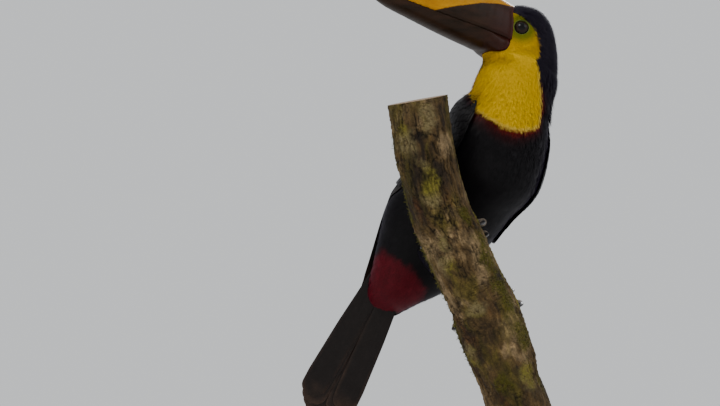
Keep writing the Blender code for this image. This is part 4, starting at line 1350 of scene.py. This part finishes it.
def make_moss():
    """Small upright shoots on the moss patches, and longer wisps down the branch's outer edge."""
    rng = np.random.default_rng(81)
    many = 42000
    t, degrees = rng.uniform(0.3, 7.9, many), rng.uniform(0, 360, many)
    flat = branch_point(t, degrees)
    keep = patches(MOSS, t, degrees, flat, 72) * rng.uniform(0.5, 1, many) > 0.42
    t, degrees, flat = t[keep], degrees[keep], flat[keep]
    height, _ = bark_relief(t, degrees, flat)
    many = len(t)
    centre, up, _, _ = branch_frame(t)
    out = unit(flat - centre)
    edge = bell(turn_past(OUTER_EDGE, degrees), 16)
    tall = rng.uniform(0.8, 1.9, many) * (1 + 1.3 * edge * rng.random(many) ** 2)
    lean = unit(out + 0.55 * rng.normal(0, 1, (many, 3)) + up * 0.2)
    side = unit(np.cross(lean, rng.normal(0, 1, (many, 3))))
    v, wide = np.array((0.0, 0.4, 0.75, 1.0)), np.array((0.14, 0.26, 0.20, 0.03))
    root = branch_point(t, degrees, height + 0.1)
    stem = root[:, None] + lean[:, None] * (tall[:, None] * v)[..., None]
    droop = rng.uniform(-1, 1.5, many)[:, None, None]
    stem = stem + out[:, None] * (-0.25 * tall[:, None] * v**2)[..., None] * droop
    half = side[:, None] * wide[:, None]
    tone = mix(*MOSS_TONES, rng.random(many)) * rng.uniform(0.7, 1.5, many)[:, None]
    tints = tone[:, None, None] * (0.6 + 0.7 * v)[None, :, None, None]
    coat = Coat()
    coat.add(np.stack([stem - half, stem + half], 2), tints, unwrap(t * CROWN / BRANCH_END, degrees))
    coat.make("branch_moss", "moss", "bark")


# ---------------------------------------------------------------- legs
TOE_LIFT = 4.3  # of a toe's middle line above the bark
TOE_SPREAD = 4.0  # of a toe's root to its own side of the foot, in millimetres
TUBE_COLUMNS = 28
# Half girth down the shank, by share of its length from ankle to heel
SHANK_GIRTH = ((0, 0.12, 0.3, 0.55, 0.78, 0.9, 0.98, 1.04), (3.8, 3.4, 3.1, 2.9, 3.1, 3.4, 2.9, 2.2))
KNUCKLES = (0.36, 0.66, 0.9)  # shares of a toe's length
# Radius of a claw and its height over the bark, evenly spaced from root to tip
CLAW_RADII = (2.5, 2.3, 2.0, 1.65, 1.25, 0.85, 0.30)
CLAW_LIFTS = (1.0, 1.2, 1.5, 1.6, 1.3, 0.8, 0.35)
SCALE_DARK, SCALE_PALE = (0.055, 0.046, 0.038), (0.215, 0.175, 0.140)


def foot_place(side):
    """The middle of a foot's pad, and the way out from the branch there."""
    t, turn = (np.array([value]) for value in LEGS[side]["hold"])
    foot = branch_point(t, turn, PAD_SIZE[2] + 0.6)[0]
    return foot, unit(foot - branch_frame(t)[0][0])


def toe_path(side, toe, length, start, steps):
    """Places along and degrees round the branch of a toe, and the run from the foot's middle."""
    t0, turn0 = LEGS[side]["hold"]
    direction = 1 if toe.endswith("front") else -1
    aside = LEGS[side]["inner"] * (1 if toe.startswith("inner") else -1)
    reach = branch_radius(t0, turn0) + TOE_LIFT
    above, below = spline(BRANCH_LINE, np.array([t0 + 0.5, t0 - 0.5]))
    spacing = np.linalg.norm(above - below)
    run = start + (length - start) * np.linspace(0, 1, steps)
    drift = aside * (TOE_SPREAD + np.minimum(run / 40.0, 1.3))
    return t0 + drift / spacing, turn0 + direction * np.degrees(run / reach), run


def tube_grid(centres, radii, outs, flat):
    """A tube with frames that keep to the given outward directions; turn 0 faces outward."""
    run = unit(np.gradient(centres, axis=0))
    over = unit(outs - run * dot(outs, run)[:, None])
    side = np.cross(run, over)
    turn = np.linspace(0, 2 * math.pi, TUBE_COLUMNS, endpoint=False)
    ring = over[:, None] * np.cos(turn)[None, :, None] + side[:, None] * (flat * np.sin(turn))[None, :, None]
    return centres[:, None] + ring * radii[:, None, None]


def leg_tubes(side):
    """Centre line, radius, outward direction, run and plate spacing of shank and toes."""
    foot, out = foot_place(side)
    heel = np.array(LEGS[side]["heel"])
    ankle = foot + out * 3.5
    share = np.linspace(-0.04, 1.04, 150)
    girth = np.interp(share, *SHANK_GIRTH)
    front = -branch_frame(np.array([LEGS[side]["hold"][0]]))[1]
    run = share * np.linalg.norm(heel - ankle)
    tubes = [(ankle + (heel - ankle) * share[:, None], girth, np.repeat(front, 150, 0), run, 2.4)]
    for toe, length in TOE_LENGTHS.items():
        t, turn, run = toe_path(side, toe, length + 1.0, 1.0, 150)
        radius = 4.0 - 1.1 * np.clip((run - 2) / (length - 2), 0, 1)
        radius = radius + 0.55 * sum(bell(run / length - knuckle, 0.055) for knuckle in KNUCKLES)
        radius = radius * (1 - 0.35 * smooth_step(length - 1.5, length + 1.0, run))
        centres = branch_point(t, turn, radius + 0.45)
        tubes.append((centres, radius, unit(centres - branch_frame(t)[0]), run, 1.75))
    return tubes


def scaled(points, tubes):
    """Lays overlapping plates along the front of shank and toes, and small scales elsewhere, with painted
    shade in the grooves between the plates.
    """
    best = np.full(len(points), 1e9)
    nearest, outs, phase = np.zeros(points.shape), np.zeros(points.shape), np.zeros(len(points))
    for centres, radius, out, run, pitch in tubes:
        away = np.linalg.norm(points[:, None] - centres[None], axis=-1) / radius
        index = away.argmin(1)
        close = away[np.arange(len(points)), index]
        nearer = close < best
        best = np.where(nearer, close, best)
        nearest = np.where(nearer[:, None], centres[index], nearest)
        outs = np.where(nearer[:, None], out[index], outs)
        phase = np.where(nearer, run[index] / pitch, phase)
    direction = unit(points - nearest)
    facing = dot(direction, outs)
    front = smooth_step(-0.25, 0.25, facing)
    groove = bell((phase + 0.5) % 1.0 - 0.5, 0.15)
    pimples = fractal(points, 1.3, 2, 93)
    high = front * (0.24 * (phase % 1.0) ** 1.5 - 0.08 - 0.16 * groove) + 0.24 * (1 - front) * pimples
    tone = 0.5 + 0.6 * noise(points, 7.0, 92) + 0.35 * pimples * (1 - 0.6 * front)
    tone = tone + 0.25 * front * (phase % 1.0)
    tints = mix(SCALE_DARK, SCALE_PALE, smooth_step(0.0, 1.0, tone))
    # painted shade: the grooves between the front plates are darkened, as they would lie in shade
    return points + direction * high[:, None], tints * (1 - 0.45 * front * groove)[:, None]


def fused(bm, voxel):
    """The points and faces of the closed meshes in bm, made one surface."""
    bmesh.ops.recalc_face_normals(bm, faces=bm.faces)
    mesh = bpy.data.meshes.new("parts")
    bm.to_mesh(mesh)
    bm.free()
    whole = bpy.data.objects.new("parts", mesh)
    bpy.context.scene.collection.objects.link(whole)
    remesh = whole.modifiers.new("fuse", "REMESH")
    remesh.mode = "VOXEL"
    remesh.voxel_size = voxel
    even = whole.modifiers.new("even", "SMOOTH")
    even.iterations = 2
    result = bpy.data.meshes.new_from_object(whole.evaluated_get(bpy.context.evaluated_depsgraph_get()))
    points = np.empty(len(result.vertices) * 3, np.float32)
    result.vertices.foreach_get("co", points)
    faces = np.array([list(p.vertices) for p in result.polygons if len(p.vertices) == 4])
    bpy.data.objects.remove(whole)
    bpy.data.meshes.remove(mesh)
    bpy.data.meshes.remove(result)
    return points.reshape(-1, 3).astype(float), faces


def leg_skin(side):
    """Shank, foot and toes as one scaled skin."""
    tubes = leg_tubes(side)
    bm = bmesh.new()
    for centres, radius, out, _, _ in tubes:
        points, faces = capped(tube_grid(centres, radius, out, 0.95))
        made = [bm.verts.new(p) for p in points]
        for face in faces[0].tolist() + faces[1].tolist():
            bm.faces.new([made[i] for i in face])
    foot, out = foot_place(side)
    _, up, _, _ = branch_frame(np.array([LEGS[side]["hold"][0]]))
    axes = (unit(np.cross(up[0], out)), up[0], out)
    pad = bmesh.ops.create_uvsphere(bm, u_segments=40, v_segments=24, radius=1.0)
    for vert in pad["verts"]:
        vert.co = Vector(foot + sum(axis * size * c for axis, size, c in zip(axes, PAD_SIZE, vert.co)))
    points, faces = fused(bm, 0.40)
    points, tints = scaled(points, tubes)
    return points, tints, faces


def make_claws():
    """Curved claws, deeper than wide, sharp at the tip."""
    knots = np.linspace(0, 1, len(CLAW_RADII))
    for side in LEGS:
        for toe, length in TOE_LENGTHS.items():
            t, turn, run = toe_path(side, toe, length + CLAW_LENGTH, length - 0.6, 60)
            share = np.clip((run - length) / CLAW_LENGTH, 0, 1)
            radius, high = (np.interp(share, knots, row) for row in (CLAW_RADII, CLAW_LIFTS))
            centres = branch_point(t, turn, radius + high)
            outs = unit(centres - branch_frame(t)[0])
            points, faces = capped(tube_grid(centres, radius, outs, 0.80))
            name = side + "_" + toe
            claw = add_mesh("claw_horn_" + name, points, faces, "claw", "claw")
            fix_normals(claw)
            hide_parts("claw_" + name)


# ---------------------------------------------------------------- materials
class Look:
    """A material of nodes, with constant values on its shader and short ways to add nodes."""

    def __init__(self, title, **values):
        self.made = bpy.data.materials.new(title)
        self.made.use_nodes = True
        self.tree = self.made.node_tree
        self.shader = self.tree.nodes["Principled BSDF"]
        for name, value in values.items():
            self.shader.inputs[name.replace("_", " ")].default_value = value

    def node(self, kind, settings=None, **inputs):
        """A node with its settings, its inputs set to numbers or joined to other nodes' sockets."""
        node = self.tree.nodes.new(kind)
        for name, value in (settings or {}).items():
            setattr(node, name, value)
        for name, value in inputs.items():
            self.join(value, node.inputs[int(name[1:]) if name[0] == "_" else name.replace("_", " ")])
        return node

    def join(self, value, socket):
        if isinstance(value, bpy.types.NodeSocket):
            self.tree.links.new(value, socket)
        else:
            socket.default_value = value

    def drive(self, name, value):
        """Joins one of the shader's own inputs."""
        self.join(value, self.shader.inputs[name])

    def read(self, name, output="Fac"):
        return self.node("ShaderNodeAttribute", {"attribute_name": name}).outputs[output]

    def place(self):
        return self.node("ShaderNodeTexCoord").outputs["Object"]

    def noise(self, size, detail=3.0, rough=0.55, stretch=None):
        """Blender's noise in the object's own space, for features of this size in millimetres."""
        at = self.place()
        if stretch:
            at = self.node("ShaderNodeMapping", Vector=at, Scale=stretch).outputs["Vector"]
        inputs = {"Vector": at, "Scale": 1000 / size, "Detail": detail, "Roughness": rough}
        return self.node("ShaderNodeTexNoise", **inputs).outputs["Fac"]

    def ramp(self, factor, *stops):
        node = self.node("ShaderNodeValToRGB", Fac=factor)
        bar = node.color_ramp
        while len(bar.elements) < len(stops):
            bar.elements.new(0.5)
        for element, (place, colour) in zip(bar.elements, stops):
            element.position = place
            element.color = (*colour, 1.0)
        return node.outputs["Color"]

    def blend(self, a, b, factor, kind="MIX"):
        settings = {"data_type": "RGBA", "blend_type": kind}
        a, b = (value if isinstance(value, bpy.types.NodeSocket) else (*value, 1.0) for value in (a, b))
        return self.node("ShaderNodeMix", settings, _0=factor, _6=a, _7=b).outputs[2]

    def math(self, kind, a, b=0.0):
        return self.node("ShaderNodeMath", {"operation": kind}, _0=a, _1=b).outputs[0]

    def times(self, a, b):
        return self.math("MULTIPLY", a, b)

    def plus(self, a, b):
        return self.math("ADD", a, b)

    def rescale(self, value, low, high, to_low=0.0, to_high=1.0):
        inputs = {"Value": value, "From_Min": low, "From_Max": high, "To_Min": to_low, "To_Max": to_high}
        return self.node("ShaderNodeMapRange", **inputs).outputs["Result"]

    def bump(self, height, distance, strength=1.0):
        inputs = {"Height": height, "Distance": distance * MM, "Strength": strength}
        self.drive("Normal", self.node("ShaderNodeBump", **inputs).outputs["Normal"])


class Tinted(Look):
    """A material whose colour is the mesh's own tint, broken up by noise of this size."""

    def __init__(self, title, size, contrast, **values):
        super().__init__(title, **values)
        self.grain = self.noise(size)
        tone = self.ramp(self.grain, (0.25, (1 - contrast,) * 3), (0.75, (1 + contrast,) * 3))
        self.drive("Base Color", self.blend(self.read("tint", "Color"), tone, 1.0, "MULTIPLY"))


def feathers(title, roughness, sheen, sheen_tint, specular, contrast):
    gloss = {"Roughness": roughness, "Specular_IOR_Level": specular, "Sheen_Weight": sheen}
    return Tinted(title, 1.2, contrast, Sheen_Roughness=0.4, Sheen_Tint=(*sheen_tint, 1.0), **gloss)


def lay_barbs(look, count, distance):
    """Fine uneven barbs that leave the shaft at a slant, as a bump across each vane."""
    vane = look.node("ShaderNodeUVMap", {"uv_map": "vane"}).outputs["UV"]
    across = look.node("ShaderNodeSeparateXYZ", Vector=vane)
    off = look.math("ABSOLUTE", look.math("SUBTRACT", across.outputs["X"], 0.5))
    slant = look.math("SUBTRACT", look.times(across.outputs["Y"], count), look.times(off, count / 5))
    place = look.node("ShaderNodeCombineXYZ", X=slant, Y=look.times(off, 2.0)).outputs["Vector"]
    lines = look.node("ShaderNodeTexNoise", Vector=place, Scale=1.0, Detail=2.0).outputs["Fac"]
    look.bump(lines, distance, 0.5)


RING_SPACING = 1.7  # growth rings
WOOD_END, BARK_START = 23.5, 25.5  # distances from the branch's heart


def make_finishes():
    """Every material that pieces are dressed in, by the name dress() knows it by."""
    plumage = feathers("black plumage", 0.50, 0.05, (0.35, 0.20, 0.70), 0.10, 0.35)
    plumage.bump(plumage.grain, 0.12, 0.5)
    quills = feathers("long black feathers", 0.44, 0.03, (0.42, 0.36, 0.50), 0.13, 0.30)
    lay_barbs(quills, 130.0, 0.10)
    bib = feathers("yellow plumage", 0.65, 0.0, (1.0, 0.80, 0.2), 0.03, 0.14)
    bib.bump(bib.grain, 0.10, 0.4)
    skin = Tinted("skin", 0.9, 0.22, Roughness=0.6, Specular_IOR_Level=0.04)
    skin.bump(skin.grain, 0.15, 0.6)
    claw = Look("claw horn", Roughness=0.30, Specular_IOR_Level=0.25)
    streaks = claw.noise(1.5, stretch=(1, 1, 0.3))
    claw.drive("Base Color", claw.ramp(streaks, (0.3, (0.012, 0.012, 0.014)), (0.8, (0.05, 0.046, 0.045))))
    bark = Tinted("bark", 1.1, 0.35, Roughness=0.9, Specular_IOR_Level=0.25)
    bark.bump(bark.plus(bark.times(bark.noise(3.2, 5.0, 0.65), 1.6), bark.noise(0.6)), 0.8)
    moss = Tinted("moss", 0.8, 0.3, Roughness=0.85)
    looks = {"plumage": plumage, "quills": quills, "bib": bib, "skin": skin, "claw": claw, "bark": bark}
    looks.update(moss=moss, bill=bill_look(), eye=eye_look(), end_grain=end_grain_look())
    looks.update(wood=turned_wood_look(), metal=rod_look())
    return {name: look.made for name, look in looks.items()}


def bill_look():
    """Brown-black horn and golden yellow, with a red line and a black one where it meets the face."""
    look = Look("bill horn", Specular_IOR_Level=0.10)
    streak = look.noise(9.0, 4.0, stretch=(0.35, 1.0, 1.6))
    fine = look.noise(1.3)
    browns = (0.3, (0.011, 0.0060, 0.0030)), (0.55, (0.020, 0.0095, 0.0050)), (0.8, (0.030, 0.0135, 0.0070))
    golds = (0.25, (0.30, 0.120, 0.0002)), (0.6, (0.40, 0.175, 0.0004)), (0.85, (0.50, 0.25, 0.002))
    near_face = look.times(look.rescale(look.read("along"), 0.0, 0.22, 1.0, 0.0), 0.6)
    dark = look.blend(look.ramp(streak, *browns), (0.032, 0.0050, 0.0050), near_face)
    inside = look.plus(look.read("yellow"), look.times(look.math("SUBTRACT", fine, 0.5), 1.6))
    colour = look.blend(dark, look.ramp(streak, *golds), look.rescale(inside, -0.6, 0.6))
    base = look.read("base")
    red_line = look.times(look.rescale(base, 0.6, 1.8, 1.0, 0.0), 0.85)
    colour = look.blend(colour, (0.045, 0.0025, 0.003), red_line)
    colour = look.blend(colour, (0.004, 0.003, 0.003), look.rescale(base, -0.05, 0.15, 1.0, 0.0))
    look.drive("Base Color", colour)
    look.drive("Roughness", look.rescale(streak, 0.3, 0.8, 0.27, 0.42))
    look.bump(look.plus(fine, streak), 0.12, 0.5)
    return look


def eye_look():
    """A black pupil in a dark brown iris, by degrees from the eye's middle."""
    look = Look("eye", Roughness=0.25, Specular_IOR_Level=0.10, Coat_Weight=0.12, Coat_Roughness=0.03)
    away = look.plus(look.read("away"), look.times(look.read("spoke"), 2.5))
    pupil = (0.0, (0.002, 0.002, 0.002)), (0.30, (0.002, 0.002, 0.002))
    iris = (0.34, (0.016, 0.007, 0.004)), (0.56, (0.010, 0.005, 0.003)), (0.62, (0.004, 0.003, 0.003))
    look.drive("Base Color", look.ramp(look.rescale(away, 0.0, 90.0), *pupil, *iris))
    return look


def end_grain_look():
    """Growth rings about each sawn end's heart, with a dark rim under the bark."""
    look = Look("end grain", Roughness=0.8, Specular_IOR_Level=0.2)
    place = look.place()
    away = []
    for end in (0.25, BRANCH_END):
        heart = tuple(spline(BRANCH_LINE, np.array([end]))[0] * MM)
        node = look.node("ShaderNodeVectorMath", {"operation": "DISTANCE"}, _0=place, _1=heart)
        away.append(node.outputs["Value"])
    radius = look.math("MINIMUM", *away)
    wander = look.times(look.noise(22.0), 0.007)
    ring = look.math("SINE", look.times(look.plus(radius, wander), 2 * math.pi / (RING_SPACING * MM)))
    ring = look.plus(look.times(ring, 0.22), look.noise(3.0, 4.0))
    woods = (0.25, (0.130, 0.078, 0.036)), (0.55, (0.215, 0.140, 0.072)), (0.85, (0.290, 0.200, 0.110))
    rim = look.rescale(radius, WOOD_END * MM, BARK_START * MM)
    look.drive("Base Color", look.blend(look.ramp(ring, *woods), (0.035, 0.020, 0.010), rim))
    look.bump(ring, 0.25, 0.6)
    return look


def turned_wood_look():
    lacquer = {"Coat_Weight": 0.12, "Coat_Roughness": 0.2}
    look = Look("dark turned wood", Roughness=0.42, Specular_IOR_Level=0.3, **lacquer)
    broad = look.noise(14.0, 6.0, stretch=(0.12, 1.0, 1.0))
    fine = look.noise(1.6, 4.0, stretch=(0.06, 1.0, 1.0))
    mixed = look.plus(look.times(broad, 0.7), look.times(fine, 0.3))
    woods = (0.32, (0.018, 0.011, 0.008)), (0.5, (0.045, 0.026, 0.017)), (0.68, (0.085, 0.050, 0.031))
    look.drive("Base Color", look.ramp(mixed, *woods))
    look.bump(fine, 0.08, 0.4)
    return look


def rod_look():
    look = Look("brushed rod", Metallic=1.0)
    lines = look.noise(0.8, 2.0, stretch=(1.0, 1.0, 0.02))
    look.drive("Base Color", look.ramp(lines, (0.3, (0.30, 0.29, 0.28)), (0.7, (0.46, 0.45, 0.43))))
    look.drive("Roughness", look.rescale(lines, 0.2, 0.8, 0.26, 0.42))
    return look


# ---------------------------------------------------------------- stand, stage, camera, lights
CAMERA_PLACE = (-0.1, -1.1213, 0.0242)
CAMERA_LENS = 67.2
FLOOR_REACH = 6.0  # metres from the middle to each side
CAMERA_TILT = 18  # degrees up from level
LIT_PLACE = (-0.02, 0.0, 0.42)


def finish_stand():
    for name, finish in (("stand_base", "wood"), ("stand_rod", "metal")):
        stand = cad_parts[name]
        stand.data.materials.clear()
        dress(stand, finish)


def make_floor():
    look = Look("pale floor", Roughness=0.9)
    tone = look.ramp(look.noise(60.0), (0.3, (0.74, 0.74, 0.72)), (0.7, (0.79, 0.79, 0.77)))
    look.drive("Base Color", tone)
    mesh = bpy.data.meshes.new("floor")
    corners = [(x * FLOOR_REACH, y * FLOOR_REACH, 0) for x, y in ((-1, -1), (1, -1), (1, 1), (-1, 1))]
    mesh.from_pydata(corners, [], [(0, 1, 2, 3)])
    mesh.materials.append(look.made)
    floor = add_object("floor", mesh)
    floor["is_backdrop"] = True


def make_camera():
    """Low and looking up at the bird, as from the forest floor."""
    data = bpy.data.cameras.new("camera")
    data.lens = CAMERA_LENS
    data.sensor_width = 36.0
    data.clip_start = 0.05
    camera = add_object("camera", data)
    camera.location = CAMERA_PLACE
    camera.rotation_euler = (math.radians(90 + CAMERA_TILT), 0, 0)
    bpy.context.scene.camera = camera


def make_lights():
    for name, place, size, power, colour in (
        ("key", (-1.4, -2.3, 2.6), 1.5, 62.0, (1.0, 0.97, 0.92)),
        ("fill", (2.3, -1.4, 1.6), 1.8, 16.0, (0.95, 0.97, 1.0)),
        ("back", (0.9, 2.1, 2.7), 1.4, 62.0, (0.96, 0.97, 1.0)),
    ):
        data = bpy.data.lights.new(name, "AREA")
        data.shape = "DISK"
        data.size = size
        data.energy = power
        data.color = colour
        light = add_object(name, data)
        light.location = place
        aim = Vector(LIT_PLACE) - Vector(place)
        light.rotation_euler = aim.to_track_quat("-Z", "Y").to_euler()
    world = bpy.data.worlds.new("pale studio")
    world.use_nodes = True
    sky = world.node_tree.nodes["Background"].inputs
    sky["Color"].default_value = (0.86, 0.88, 0.90, 1.0)
    sky["Strength"].default_value = 0.85
    bpy.context.scene.world = world


def main():
    FINISHES.update(make_finishes())
    make_camera()
    make_lights()
    make_floor()
    make_skin()
    make_body_coat()
    make_thigh_coat()
    for side, sign in SIDES.items():
        make_wing(side, sign, 100 if sign > 0 else 200)
    make_tail()
    make_bill()
    make_eyes()
    make_claws()
    make_branch()
    make_moss()
    finish_stand()


main()

sizes = {"cad": cad_bounds, "visual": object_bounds()}
{key: [list(corner) for corner in value] for key, value in sizes.items()}
